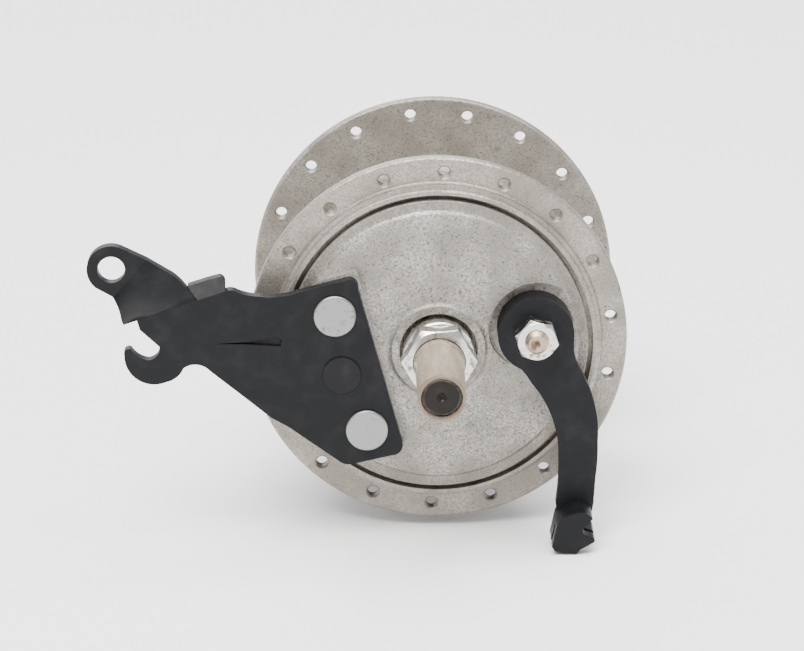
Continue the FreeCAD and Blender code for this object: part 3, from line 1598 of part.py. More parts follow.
def make_shoes():
    """Two shoes pivot on the fulcrum pin; each carries a bonded lining and rests on a cam flat."""
    x, z = float(S.pivot_x), float(S.pivot_z)
    lean = math.degrees(math.atan2(z, x))
    start, width = float(S.shoe_y), float(S.shoe_width)
    web_depth = 4.0
    web_start = start + (width - web_depth) / 2
    for label, side in (("upper", 1), ("lower", -1)):
        middle = lean + 90 * side
        rim = shoe_sector(float(S.shoe_r) - 2, float(S.shoe_r), start, width, 58, middle)
        web = shoe_sector(22.0, float(S.shoe_r) - 1, web_start, web_depth, 89, middle)
        half_plane = half_space(lean, side, float(S.cam_half) + 0.05, 0.3)
        web = web.common(half_plane)
        end_pad = shoe_sector(22.0, 29.0, start, width, 89, middle).common(half_plane)
        near_cam = Part.makeCylinder(7.5, width, Vector(x, start, z), Vector(0, 1, 0))
        end_pad = end_pad.common(near_cam)
        notch = Part.makeCylinder(
            float(S.fulcrum_r + S.running_gap), width + 2, Vector(-x, start - 1, -z), Vector(0, 1, 0)
        )
        hook_x, hook_z = spring_hook(lean, side, 16.0)
        hole = Part.makeCylinder(1.0, width, Vector(hook_x, start, hook_z), Vector(0, 1, 0))
        second_x, second_z = spring_hook(lean, side, -16.0)
        second = Part.makeCylinder(1.0, width, Vector(second_x, start, second_z), Vector(0, 1, 0))
        shoe = rim.fuse([web, end_pad]).cut([notch, hole, second]).removeSplitter()
        keep("brake_shoe_" + label, set_shape("shoe_" + label, shoe))
        lining = shoe_sector(
            float(S.shoe_r), float(S.lining_r), start + 0.5, width - 1, 54, middle
        )
        keep("brake_lining_" + label, set_shape("lining_" + label, lining))
    springs = [pull_off_spring(lean, 16.0), pull_off_spring(lean, -16.0)]
    keep("pull_off_springs", set_shape("spring_pair", Part.makeCompound(springs)))


def half_space(lean, side, cam_gap, fulcrum_gap):
    """One side of the line from fulcrum to cam, kept off it by a gap that differs at each end."""
    points = [(60, cam_gap), (8, cam_gap), (4, fulcrum_gap), (-60, fulcrum_gap), (-60, 60), (60, 60)]
    turn = math.radians(lean)
    corners = []
    for along, off in points:
        off = off * side
        corners.append(
            (
                along * math.cos(turn) - off * math.sin(turn),
                along * math.sin(turn) + off * math.cos(turn),
            )
        )
    return prism_y(corners, 0, 60)


HOOK_OUT = 19.5


def spring_hook(lean, side, along):
    """A spring's anchor in the shoe web, at a distance along the line from fulcrum to cam."""
    turn = math.radians(lean)
    off = HOOK_OUT * side
    return (
        along * math.cos(turn) - off * math.sin(turn),
        along * math.sin(turn) + off * math.cos(turn),
    )


def pull_off_spring(lean, along):
    """A coil with a straight leg to a crossbar in each shoe's hole."""
    wire_r = 0.45
    coil_r = 2.2
    first = spring_hook(lean, -1, along)
    second = spring_hook(lean, 1, along)
    web_middle = float(S.shoe_y) + float(S.shoe_width) / 2
    plane_y = web_middle + 2 + 1.0
    start = Vector(first[0], plane_y, first[1])
    end = Vector(second[0], plane_y, second[1])
    axis = (end - start).normalize()
    span = (end - start).Length
    coil_length = span * 0.6
    turns = 9
    helix = Part.makeLongHelix(coil_length / turns, coil_length, coil_r)
    section = Part.Wire(Part.makeCircle(wire_r, Vector(coil_r, 0, 0), Vector(0, 1, 0)))
    coil = Part.Wire(helix.Edges).makePipeShell([section], True, True)
    coil = Part.makeSolid(coil.Shells[0])
    place = Placement(start + axis * (span - coil_length) / 2, Rotation(Vector(0, 0, 1), axis))
    coil.Placement = place
    tips = [place.multVec(Vector(coil_r, 0, 0)), place.multVec(Vector(coil_r, 0, coil_length))]
    wires = [coil]
    for tip, hook in zip(tips, (start, end)):
        leg = hook - tip
        wires.append(Part.makeCylinder(wire_r, leg.Length, tip, leg))
        wires.append(Part.makeSphere(wire_r, hook))
        wires.append(Part.makeCylinder(wire_r, 3.5, hook, Vector(0, -1, 0)))
        wires.append(Part.makeSphere(wire_r, tip))
    return wires[0].fuse(wires[1:])


# ---------------------------------------------------------------- build, verify, write


def build():
    make_axle()
    make_axle_fittings()
    make_shell()
    make_shell_bearings()
    make_bearings()
    make_planets()
    make_cage()
    make_ring()
    make_pawls()
    make_clutch()
    make_spring()
    make_driver()
    make_sprocket()
    make_brake_plate()
    make_fulcrum()
    make_cam()
    make_lever()
    make_torque_arm()
    make_shoes()
    doc.recompute()


def verify():
    """Stop if any feature failed or any sub-part's shape is missing or broken."""
    for item in doc.Objects:
        if "Invalid" in item.State or "Error" in item.State:
            raise RuntimeError("failed feature: " + item.Name)
    for piece in parts:
        if piece.Shape.isNull() or not piece.Shape.isValid():
            raise RuntimeError("broken shape: " + piece.Label)
        if not piece.Shape.Solids:
            raise RuntimeError("no solid in: " + piece.Label)


def export():
    os.makedirs("parts", exist_ok=True)
    for piece in parts:
        piece.Shape.exportStep(os.path.join("parts", piece.Label + ".step"))


build()
verify()
export()
print("%d sub-parts" % len(parts))
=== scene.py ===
"""Looks of a rear bicycle hub with an internal gear and a drum brake, built round its CAD frame.

Lengths in this script are millimetres until they reach Blender, which works in metres. The hub axis
is Y, the brake side is at -Y and +Z is up.
"""
import json
import math

import bmesh
import bpy
from mathutils import Matrix, Vector

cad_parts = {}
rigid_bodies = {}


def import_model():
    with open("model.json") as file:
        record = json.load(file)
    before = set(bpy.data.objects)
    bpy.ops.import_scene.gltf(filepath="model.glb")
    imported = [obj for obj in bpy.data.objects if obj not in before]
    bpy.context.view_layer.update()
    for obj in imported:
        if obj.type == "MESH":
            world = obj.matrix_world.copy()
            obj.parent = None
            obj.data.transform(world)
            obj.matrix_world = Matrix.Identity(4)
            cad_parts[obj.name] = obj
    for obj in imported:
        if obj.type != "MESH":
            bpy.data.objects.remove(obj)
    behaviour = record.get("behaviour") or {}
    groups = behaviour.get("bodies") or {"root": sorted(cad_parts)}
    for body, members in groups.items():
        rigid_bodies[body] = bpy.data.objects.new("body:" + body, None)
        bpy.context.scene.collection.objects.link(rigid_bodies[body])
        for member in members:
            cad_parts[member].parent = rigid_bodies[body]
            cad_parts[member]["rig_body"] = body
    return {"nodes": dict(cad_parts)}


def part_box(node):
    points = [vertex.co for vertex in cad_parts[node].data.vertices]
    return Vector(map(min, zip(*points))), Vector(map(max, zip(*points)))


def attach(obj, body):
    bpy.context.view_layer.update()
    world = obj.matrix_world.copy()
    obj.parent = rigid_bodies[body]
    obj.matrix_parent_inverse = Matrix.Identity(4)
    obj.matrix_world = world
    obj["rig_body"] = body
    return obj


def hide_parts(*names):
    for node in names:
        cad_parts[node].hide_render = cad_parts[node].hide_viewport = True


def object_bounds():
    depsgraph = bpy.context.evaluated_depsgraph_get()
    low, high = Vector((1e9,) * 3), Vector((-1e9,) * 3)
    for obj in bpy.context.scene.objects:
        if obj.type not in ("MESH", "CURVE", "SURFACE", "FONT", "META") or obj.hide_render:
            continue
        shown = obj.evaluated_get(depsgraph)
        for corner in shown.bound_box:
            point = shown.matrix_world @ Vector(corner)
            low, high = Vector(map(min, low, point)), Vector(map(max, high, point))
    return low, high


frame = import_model()
CAD_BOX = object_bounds()

MM = 0.001


# ---------------------------------------------------------------- node materials

BIGGEST_PIT = 0.11  # radius, as a share of a cell


class Look:
    """A node material. Its patterns are laid out in millimetres in the piece's own frame."""

    def __init__(self, name, roughness=0.5, metallic=0.0, **sockets):
        self.material = bpy.data.materials.new(name)
        self.material.use_nodes = True
        self.tree = self.material.node_tree
        self.shader = self.tree.nodes["Principled BSDF"]
        self.shader.inputs["Roughness"].default_value = roughness
        self.shader.inputs["Metallic"].default_value = metallic
        for socket, value in sockets.items():
            self.shader.inputs[socket.replace("_", " ")].default_value = value
        place = self.tree.nodes.new("ShaderNodeTexCoord")
        self.mm = self.vector_maths("SCALE", place.outputs["Object"], scale=1 / MM)
        self.last_bump = None

    def new(self, kind, **values):
        node = self.tree.nodes.new(kind)
        for key, value in values.items():
            setattr(node, key, value)
        return node

    def feed(self, value, socket):
        """Link an output to a socket, or write a plain value on it."""
        if isinstance(value, bpy.types.NodeSocket):
            self.tree.links.new(value, socket)
        else:
            socket.default_value = value

    def vector_maths(self, operation, vector, second=None, scale=None):
        node = self.new("ShaderNodeVectorMath", operation=operation)
        self.feed(vector, node.inputs[0])
        if second is not None:
            self.feed(second, node.inputs[1])
        if scale is not None:
            node.inputs["Scale"].default_value = scale
        return node.outputs["Value" if operation in ("LENGTH", "DOT_PRODUCT") else "Vector"]

    def maths(self, operation, first, second=0.0, third=0.0):
        node = self.new("ShaderNodeMath", operation=operation)
        for value, socket in zip((first, second, third), node.inputs):
            self.feed(value, socket)
        return node.outputs[0]

    def noise(self, per_mm, detail=3.0, stretch=(1, 1, 1), offset=(0, 0, 0)):
        """Soft noise from 0 to 1 with about per_mm lumps in each millimetre."""
        spread = self.vector_maths("MULTIPLY", self.mm, [per_mm * side for side in stretch])
        moved = self.vector_maths("ADD", spread, offset)
        node = self.new("ShaderNodeTexNoise")
        self.feed(moved, node.inputs["Vector"])
        node.inputs["Scale"].default_value = 1
        node.inputs["Detail"].default_value = detail
        return node.outputs["Fac"]

    def pits(self, per_mm, share, offset=(0, 0, 0)):
        """Round dots, one at most in each cell, in a share of the cells."""
        spread = self.vector_maths("SCALE", self.mm, scale=per_mm)
        moved = self.vector_maths("ADD", spread, offset)
        node = self.new("ShaderNodeTexVoronoi", feature="F1")
        self.feed(moved, node.inputs["Vector"])
        node.inputs["Scale"].default_value = 1
        red = self.new("ShaderNodeSeparateColor")
        self.feed(node.outputs["Color"], red.inputs[0])
        chosen = self.maths("LESS_THAN", red.outputs[0], share)
        size = self.maths("MULTIPLY", red.outputs[1], BIGGEST_PIT)
        return self.maths("MULTIPLY", self.maths("LESS_THAN", node.outputs["Distance"], size), chosen)

    def band(self, value, low, high):
        """0 below low, 1 above high, smooth between; or the other way round when low is the greater."""
        node = self.new("ShaderNodeMapRange", interpolation_type="SMOOTHSTEP")
        self.feed(value, node.inputs["Value"])
        node.inputs["From Min"].default_value = low
        node.inputs["From Max"].default_value = high
        return node.outputs["Result"]

    def mix(self, share, first, second):
        node = self.new("ShaderNodeMix", data_type="RGBA")
        self.feed(share, node.inputs[0])
        for value, socket in ((first, node.inputs[6]), (second, node.inputs[7])):
            self.feed(value if isinstance(value, bpy.types.NodeSocket) else (*value, 1), socket)
        return node.outputs[2]

    def between(self, share, low, high):
        return self.maths("MULTIPLY_ADD", share, high - low, low)

    def away_from(self, x, z):
        """The distance from a line along Y through (x, z)."""
        moved = self.vector_maths("SUBTRACT", self.mm, (x, 0, z))
        flat = self.vector_maths("MULTIPLY", moved, (1, 0, 1))
        return self.vector_maths("LENGTH", flat)

    def axis_value(self, axis):
        node = self.new("ShaderNodeSeparateXYZ")
        self.feed(self.mm, node.inputs[0])
        return node.outputs[axis]

    def colour(self, value):
        self.feed(value, self.shader.inputs["Base Color"])

    def roughness(self, value):
        self.feed(value, self.shader.inputs["Roughness"])

    def bump(self, height, depth_mm, strength=1.0):
        node = self.new("ShaderNodeBump")
        node.inputs["Strength"].default_value = strength
        node.inputs["Distance"].default_value = depth_mm * MM
        self.feed(height, node.inputs["Height"])
        if self.last_bump is not None:
            self.feed(self.last_bump, node.inputs["Normal"])
        self.last_bump = node.outputs["Normal"]
        self.feed(self.last_bump, self.shader.inputs["Normal"])


def cast_aluminium(name, light, dark, dirt, roughness=0.46, grain=1.0):
    """Old bare aluminium casting: a fine grain, dark pinholes and old dirt."""
    look = Look(name, metallic=0.72)
    blotches = look.band(look.noise(0.09, 4), 0.35, 0.65)
    fine = look.noise(1.7, 5)
    specks = look.band(look.noise(2.0, 4, offset=(7, 3, 1)), 0.55, 0.66)
    pinholes = look.pits(0.3, 0.14)
    stain = look.band(look.noise(0.22, 5, offset=(31, 5, 12)), 0.6, 0.78)
    tone = look.mix(blotches, dark, light)
    tone = look.mix(look.between(look.band(fine, 0.42, 0.58), 0.0, 0.9 * grain), tone, dark)
    tone = look.mix(look.maths("MULTIPLY", specks, 0.75 * grain), tone, dirt)
    tone = look.mix(look.maths("MULTIPLY", stain, 0.3), tone, dirt)
    tone = look.mix(pinholes, tone, (0.015, 0.014, 0.013))
    look.colour(tone)
    look.roughness(look.between(fine, roughness - 0.08, roughness + 0.12))
    look.bump(fine, 0.2, 0.8 * grain)
    look.bump(look.maths("SUBTRACT", 1.0, pinholes), 0.12, 0.6)
    return look


# Rings of dirt on the plate: (x, z) of the centre, radius of the darkest part, radius where it ends, share.
DIRT_RINGS = (((0, 0), 10.5, 14.5, 0.75), ((24.9, 5), 12.0, 14.6, 0.55))
# The plate's colour is darker towards its rim, between these radii.
DARKER_RIM_FROM = 35.2
DARKER_RIM_FULL = 37.4
# Painted shade: below these heights the plate's colour darkens towards the bottom.
PAINTED_SHADE_BELOW_FROM_Z = -4
PAINTED_SHADE_BELOW_FULL_Z = -26
SCRIBED_START = (-6.5, -23.0)
SCRIBED_END = (1.2, -15.4)
SCRIBED_HALF_WIDTH = 0.22
SCRIBED_FADE = 0.6
SCRIBED_CORE = 0.4  # share of the half width that is fully marked


def plate_look():
    """The brake plate's casting, with dirt round the axle and the lever's pocket, a darker band at the rim,
    painted shade towards the bottom, and a scribed line.
    """
    look = cast_aluminium("plate_casting", (0.44, 0.425, 0.395), (0.25, 0.235, 0.21), (0.06, 0.05, 0.037))
    tone = look.shader.inputs["Base Color"].links[0].from_socket
    ragged = look.noise(0.5, 5)
    for (x, z), near, far, strength in DIRT_RINGS:
        ring = look.band(look.away_from(x, z), far, near)
        share = look.maths("MULTIPLY", look.band(ragged, 0.35, 0.75), ring)
        tone = look.mix(look.maths("MULTIPLY", share, strength), tone, (0.11, 0.09, 0.065))
    # Darker towards the rim.
    rim = look.band(look.away_from(0, 0), DARKER_RIM_FROM, DARKER_RIM_FULL)
    tone = look.mix(look.maths("MULTIPLY", rim, 0.55), tone, (0.16, 0.14, 0.115))
    # Painted shade: the lower part of the plate is coloured darker.
    below = look.band(look.axis_value(2), PAINTED_SHADE_BELOW_FROM_Z, PAINTED_SHADE_BELOW_FULL_Z)
    tone = look.mix(look.maths("MULTIPLY", below, 0.22), tone, (0.17, 0.145, 0.115))
    line = scribed_line(look, SCRIBED_START, SCRIBED_END, SCRIBED_HALF_WIDTH)
    tone = look.mix(look.maths("MULTIPLY", line, 0.6), tone, (0.14, 0.13, 0.12))
    look.colour(tone)
    look.bump(look.maths("SUBTRACT", 1.0, line), 0.12, 0.5)
    return look


def scribed_line(look, start, end, half_width):
    """1 on a thin straight line between two (x, z) points, 0 elsewhere."""
    along = Vector((end[0] - start[0], 0, end[1] - start[1]))
    length = along.length
    along.normalize()
    across = Vector((-along.z, 0, along.x))
    moved = look.vector_maths("SUBTRACT", look.mm, (start[0], 0, start[1]))
    run = look.vector_maths("DOT_PRODUCT", moved, along)
    side = look.maths("ABSOLUTE", look.vector_maths("DOT_PRODUCT", moved, across))
    begun = look.band(run, 0, SCRIBED_FADE)
    ending = look.band(run, length, length - SCRIBED_FADE)
    inside = look.maths("MULTIPLY", begun, ending)
    return look.maths("MULTIPLY", look.band(side, half_width, half_width * SCRIBED_CORE), inside)


TURNING_PHASE = 24.0  # radians of the tool marks' sine for each mm away from the hub axis


def machined(name, tone, roughness=0.3):
    """Bright turned metal: fine rings round the hub axis and a little grime."""
    look = Look(name, metallic=0.9)
    reach = look.away_from(0, 0)
    rings = look.maths("SINE", look.maths("MULTIPLY", reach, TURNING_PHASE))
    wander = look.noise(0.35, 4)
    grime = look.band(look.noise(0.28, 5, offset=(3, 9, 4)), 0.56, 0.8)
    dull = [part * 0.55 for part in tone]
    shade = look.mix(look.between(wander, 0.0, 0.35), tone, dull)
    look.colour(look.mix(look.maths("MULTIPLY", grime, 0.5), shade, (0.16, 0.14, 0.11)))
    look.roughness(look.between(wander, roughness - 0.08, roughness + 0.14))
    look.bump(rings, 0.012, 0.5)
    return look


def black_paint(name, tone, worn, chips=0.0, roughness=0.42):
    """Satin black finish: faint orange peel, hairline scuffs, and bare metal where chips asks for it."""
    look = Look(name, Specular_IOR_Level=0.16)
    peel = look.noise(1.3, 3)
    dust = look.band(look.noise(0.16, 5, offset=(11, 2, 5)), 0.45, 0.8)
    scuffs = look.band(look.noise(1.1, 4, stretch=(0.18, 1, 2.2), offset=(2, 8, 3)), 0.665, 0.70)
    flecks = look.pits(0.5, 0.12, offset=(4, 1, 6))
    shade = look.mix(look.maths("MULTIPLY", dust, 0.45), tone, worn)
    shade = look.mix(look.maths("MULTIPLY", scuffs, 0.28), shade, worn)
    shade = look.mix(look.maths("MULTIPLY", flecks, 0.5), shade, worn)
    if chips:
        bare = look.band(look.noise(0.55, 5, offset=(9, 4, 2)), 0.62 - 0.2 * chips, 0.7 - 0.16 * chips)
        shade = look.mix(look.maths("MULTIPLY", bare, 0.8), shade, (0.33, 0.31, 0.28))
        look.feed(look.maths("MULTIPLY", bare, 0.6), look.shader.inputs["Metallic"])
    look.colour(shade)
    look.roughness(look.between(look.noise(0.4, 4), roughness - 0.1, roughness + 0.18))
    look.bump(peel, 0.03, 0.35)
    return look


def plated(name, tone, dirt, roughness=0.24, grime_from=0.56):
    """Bright plated steel with brown grime in patches and fine handling scratches."""
    look = Look(name, metallic=1.0)
    patches = look.band(look.noise(0.42, 5, offset=(5, 5, 9)), grime_from, grime_from + 0.16)
    hairlines = look.band(look.noise(1.6, 4, stretch=(0.3, 1.4, 2.4)), 0.5, 0.72)
    cloud = look.noise(0.3, 3, offset=(2, 7, 1))
    shade = look.mix(look.between(cloud, 0.0, 0.3), tone, [part * 0.7 for part in tone])
    shade = look.mix(look.maths("MULTIPLY", hairlines, 0.15), shade, [part * 0.5 for part in tone])
    look.colour(look.mix(look.maths("MULTIPLY", patches, 0.8), shade, dirt))
    look.roughness(look.between(patches, roughness, roughness + 0.32))
    look.bump(hairlines, 0.01, 0.4)
    return look


def oiled_steel(name, tone, roughness=0.3):
    """Hardened steel under a film of oil: blue-grey clouds and ground-in machining marks."""
    look = Look(name, metallic=1.0, Coat_Weight=0.25, Coat_Roughness=0.12)
    cloud = look.band(look.noise(0.2, 4), 0.35, 0.7)
    marks = look.noise(2.6, 3, stretch=(0.25, 1.6, 0.25))
    oil = look.band(look.noise(0.5, 4, offset=(8, 8, 2)), 0.58, 0.74)
    shade = look.mix(cloud, tone, [tone[0] * 0.72, tone[1] * 0.76, tone[2] * 0.86])
    look.colour(look.mix(look.maths("MULTIPLY", oil, 0.55), shade, (0.10, 0.075, 0.04)))
    look.roughness(look.between(marks, roughness - 0.1, roughness + 0.16))
    look.bump(marks, 0.01, 0.4)
    return look


def bright_steel(name, tone, roughness):
    """Ground or polished steel for balls, springs and pressings, with faint scratches."""
    look = Look(name, metallic=1.0)
    marks = look.noise(3.2, 4)
    cloud = look.noise(0.5, 3, offset=(6, 2, 2))
    look.colour(look.mix(look.between(cloud, 0.0, 0.5), tone, [part * 0.6 for part in tone]))
    look.roughness(look.between(marks, roughness * 0.6, roughness * 1.5))
    look.bump(marks, 0.006, 0.3)
    return look


def friction_lining():
    """Moulded brake lining: dark brown matrix with brass and fibre flecks."""
    look = Look("lining_compound", roughness=0.85)
    body = look.mix(look.noise(0.8, 5), (0.055, 0.04, 0.03), (0.12, 0.09, 0.065))
    brass = look.band(look.noise(3.4, 2, offset=(4, 4, 4)), 0.68, 0.73)
    fibre = look.band(look.noise(2.2, 3, stretch=(0.3, 1.5, 1), offset=(1, 6, 2)), 0.63, 0.69)
    body = look.mix(look.maths("MULTIPLY", fibre, 0.5), body, (0.30, 0.27, 0.22))
    look.colour(look.mix(look.maths("MULTIPLY", brass, 0.7), body, (0.42, 0.28, 0.10)))
    look.bump(look.noise(2.4, 4), 0.08, 0.8)
    return look


def bronze():
    look = Look("sintered_bronze", metallic=1.0)
    pores = look.band(look.noise(3.0, 3), 0.6, 0.68)
    body = look.mix(look.noise(0.5, 4), (0.42, 0.24, 0.10), (0.58, 0.36, 0.17))
    look.colour(look.mix(look.maths("MULTIPLY", pores, 0.7), body, (0.10, 0.06, 0.03)))
    look.roughness(look.between(pores, 0.34, 0.6))
    look.bump(look.maths("SUBTRACT", 1.0, pores), 0.03, 0.6)
    return look


SLEEVE_TIP_FROM_Y = -25.4
SLEEVE_TIP_FULL_Y = -26.7
SLEEVE_ROOT_FROM_Y = -5.0
SLEEVE_ROOT_FULL_Y = -1.2
SLEEVE_SCATTER = 1.5


def sleeve_plastic(name, tone, deep):
    """Aged translucent plastic: cloudy amber-grey, darker brown towards its outer end, and patchy brown
    grease at its root.
    """
    look = Look(name, roughness=0.34, IOR=1.46)
    look.shader.inputs["Transmission Weight"].default_value = 0.22
    look.shader.inputs["Subsurface Weight"].default_value = 0.25
    look.shader.inputs["Subsurface Scale"].default_value = SLEEVE_SCATTER * MM
    streaks = look.band(look.noise(0.45, 4, stretch=(1.6, 0.22, 1.6)), 0.35, 0.7)
    tip = look.band(look.axis_value(1), SLEEVE_TIP_FROM_Y, SLEEVE_TIP_FULL_Y)
    root = look.band(look.axis_value(1), SLEEVE_ROOT_FROM_Y, SLEEVE_ROOT_FULL_Y)
    grease = look.band(look.noise(0.7, 4, offset=(3, 3, 7)), 0.42, 0.66)
    # The outer end is coloured darker brown all round; the root gets patchy grease.
    ends = look.maths("MAXIMUM", look.maths("MULTIPLY", tip, 0.8), look.maths("MULTIPLY", root, grease))
    shade = look.mix(look.between(streaks, 0.0, 0.7), tone, deep)
    look.colour(look.mix(look.maths("MULTIPLY", ends, 0.75), shade, (0.10, 0.065, 0.035)))
    look.roughness(look.between(streaks, 0.26, 0.5))
    look.bump(look.noise(1.4, 4), 0.05, 0.4)
    return look


LOOKS = {
    "cast_aluminium": cast_aluminium(
        "shell_casting", (0.36, 0.335, 0.295), (0.23, 0.21, 0.18), (0.08, 0.066, 0.046), grain=0.75
    ),
    "black_paint": black_paint("satin_black", (0.0035, 0.0038, 0.0050), (0.016, 0.016, 0.018)),
    "bright_rivet_steel": plated("rivet_zinc", (0.27, 0.28, 0.27), (0.12, 0.11, 0.10), 0.42, 0.6),
    "chromed_steel": plated("chrome_plate", (0.46, 0.455, 0.44), (0.10, 0.075, 0.05), 0.24, 0.55),
    "zinc_steel": plated("zinc_plate", (0.62, 0.61, 0.57), (0.13, 0.10, 0.06), 0.2, 0.52),
    "oiled_steel": oiled_steel("oiled_hard_steel", (0.42, 0.43, 0.45)),
    "spring_steel": bright_steel("spring_wire", (0.36, 0.35, 0.33), 0.3),
    "ball_steel": bright_steel("polished_balls", (0.78, 0.78, 0.77), 0.08),
    "pressed_steel": bright_steel("pressed_sheet", (0.50, 0.49, 0.47), 0.32),
    "bronze": bronze(),
    "shoe_aluminium": cast_aluminium(
        "shoe_casting", (0.50, 0.49, 0.47), (0.36, 0.35, 0.33), (0.12, 0.10, 0.08), 0.5
    ),
    "friction_lining": friction_lining(),
    "sleeve_plastic": sleeve_plastic("aged_plastic", (0.34, 0.29, 0.22), (0.21, 0.165, 0.115)),
}
PLATE = plate_look()
BRIGHT_LIP = machined("turned_lip", (0.44, 0.42, 0.37))
DRUM_FACE = machined("turned_drum", (0.50, 0.49, 0.47), 0.26)
# Rounded edges of the black parts: a lighter black as a painted highlight, with chips of bare metal as real
# wear.
EDGE_HIGHLIGHT_AND_WEAR = black_paint("worn_black_edge", (0.02, 0.0195, 0.019), (0.09, 0.086, 0.08), chips=0.5)
# The tab: a lighter black, painted light where it tilts up towards the lamps, with a few chips of wear; its
# edges lighter still, a painted highlight with chipped wear.
TAB_PAINTED_LIGHT = black_paint("faded_black_tab", (0.012, 0.0115, 0.0105), (0.035, 0.032, 0.028), chips=0.1)
TAB_EDGE_HIGHLIGHT_AND_WEAR = black_paint("worn_tab_edge", (0.028, 0.026, 0.023), (0.08, 0.075, 0.068), chips=0.55)
PIN_BLACK = black_paint("blackened_pin", (0.0045, 0.0046, 0.0056), (0.02, 0.02, 0.021), roughness=0.34)
STUD_END = plated("copper_brown_stud", (0.40, 0.30, 0.23), (0.12, 0.08, 0.05), 0.34, 0.5)
# The left axle's end face is coloured near black.
DARK_END = black_paint("greasy_axle_end", (0.008, 0.0065, 0.005), (0.03, 0.022, 0.015), roughness=0.3)


# ---------------------------------------------------------------- mesh helpers

SMOOTH_ANGLE = math.radians(34)
FLAT_ANGLE = math.radians(0.6)
SAME_CORNER = 0.002


def opened(node):
    """A bmesh of a CAD node with its shared corners joined and its flat areas merged."""
    mesh = bmesh.new()
    mesh.from_mesh(frame["nodes"][node].data)
    bmesh.ops.remove_doubles(mesh, verts=mesh.verts, dist=SAME_CORNER * MM)
    bmesh.ops.dissolve_limit(
        mesh, angle_limit=FLAT_ANGLE, verts=mesh.verts, edges=mesh.edges, delimit={"NORMAL"}
    )
    mesh.normal_update()
    return mesh


def sharp_edges(mesh):
    return [edge for edge in mesh.edges if edge.is_manifold and edge.calc_face_angle(0) > SMOOTH_ANGLE]


def soften(mesh, width, edge_slot=-1):
    """Round the sharp edges by a width in millimetres; the new faces take the edge slot's look."""
    edges = sharp_edges(mesh)
    corners = list({corner for edge in edges for corner in edge.verts})
    bmesh.ops.bevel(
        mesh,
        geom=edges + corners,
        offset=width * MM,
        offset_type="OFFSET",
        segments=2,
        profile=0.5,
        affect="EDGES",
        clamp_overlap=True,
        material=edge_slot,
    )


def piece_from(mesh, name, looks):
    """A shown object made of a bmesh, with smooth faces between its sharp edges."""
    data = bpy.data.meshes.new(name)
    mesh.to_mesh(data)
    mesh.free()
    for layer in [layer for layer in data.attributes if layer.name == "custom_normal"]:
        data.attributes.remove(layer)
    data.materials.clear()
    for look in looks:
        data.materials.append(look.material)
    data.polygons.foreach_set("use_smooth", [True] * len(data.polygons))
    data.set_sharp_from_angle(angle=SMOOTH_ANGLE)
    piece = bpy.data.objects.new(name, data)
    bpy.context.scene.collection.objects.link(piece)
    normals = piece.modifiers.new("face_weighted_normals", "WEIGHTED_NORMAL")
    normals.keep_sharp = True
    return piece


def stands_for(piece, node):
    """The piece rides where the CAD node does and is shown in its place."""
    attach(piece, frame["nodes"][node]["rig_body"])
    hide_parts(node)


def part_of(piece, node):
    """The piece rides with a CAD node that another piece stands for."""
    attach(piece, frame["nodes"][node]["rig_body"])


def cut_away(mesh, y, keep_above):
    """Keep the side of a mesh above or below a height along Y, and close the cut."""
    found = bmesh.ops.bisect_plane(
        mesh,
        geom=mesh.verts[:] + mesh.edges[:] + mesh.faces[:],
        plane_co=(0, y * MM, 0),
        plane_no=(0, 1, 0),
        clear_inner=keep_above,
        clear_outer=not keep_above,
    )
    rim = [item for item in found["geom_cut"] if isinstance(item, bmesh.types.BMEdge)]
    bmesh.ops.holes_fill(mesh, edges=rim, sides=0)


def prism(outline, front, back):
    """A straight block along Y with a closed (x, z) outline."""
    mesh = bmesh.new()
    ends = [[mesh.verts.new((x * MM, y * MM, z * MM)) for x, z in outline] for y in (front, back)]
    mesh.faces.new(ends[0])
    mesh.faces.new(reversed(ends[1]))
    for step in range(len(outline)):
        ahead = (step + 1) % len(outline)
        mesh.faces.new((ends[0][ahead], ends[0][step], ends[1][step], ends[1][ahead]))
    bmesh.ops.recalc_face_normals(mesh, faces=mesh.faces)
    return mesh


def carved(mesh, cutter):
    """A mesh less a cutter; both are used up."""
    blanks = []
    for source in (mesh, cutter):
        data = bpy.data.meshes.new("blank")
        source.to_mesh(data)
        source.free()
        blank = bpy.data.objects.new("blank", data)
        bpy.context.scene.collection.objects.link(blank)
        blanks.append(blank)
    cut = blanks[0].modifiers.new("cut", "BOOLEAN")
    cut.operation = "DIFFERENCE"
    cut.solver = "EXACT"
    cut.object = blanks[1]
    bpy.context.view_layer.update()
    shaped = blanks[0].evaluated_get(bpy.context.evaluated_depsgraph_get())
    result = bmesh.new()
    result.from_mesh(shaped.to_mesh())
    shaped.to_mesh_clear()
    for blank in blanks:
        bpy.data.objects.remove(blank)
    result.normal_update()
    return result


# ---------------------------------------------------------------- threads

TURN_STEPS = 72
PITCH_STEPS = 8
DEPTH_OF_PITCH = 0.56
ROOT_SHARE = 0.08
FLANK_SHARE = 0.8
TAPER_OF_DEPTH = 0.8
TAPER_MORE = 0.35
CENTRE_HOLE_DEPTH = 1.2  # as a share of the bore's radius


def thread_radius(y, turn, pitch, major, depth):
    """A rounded V thread: the radius at a place along and round the rod."""
    phase = (y / pitch - turn) % 1.0
    ridge = 1 - abs(2 * phase - 1)
    return major - depth * (1 - min(1.0, max(0.0, (ridge - ROOT_SHARE) / FLANK_SHARE)))


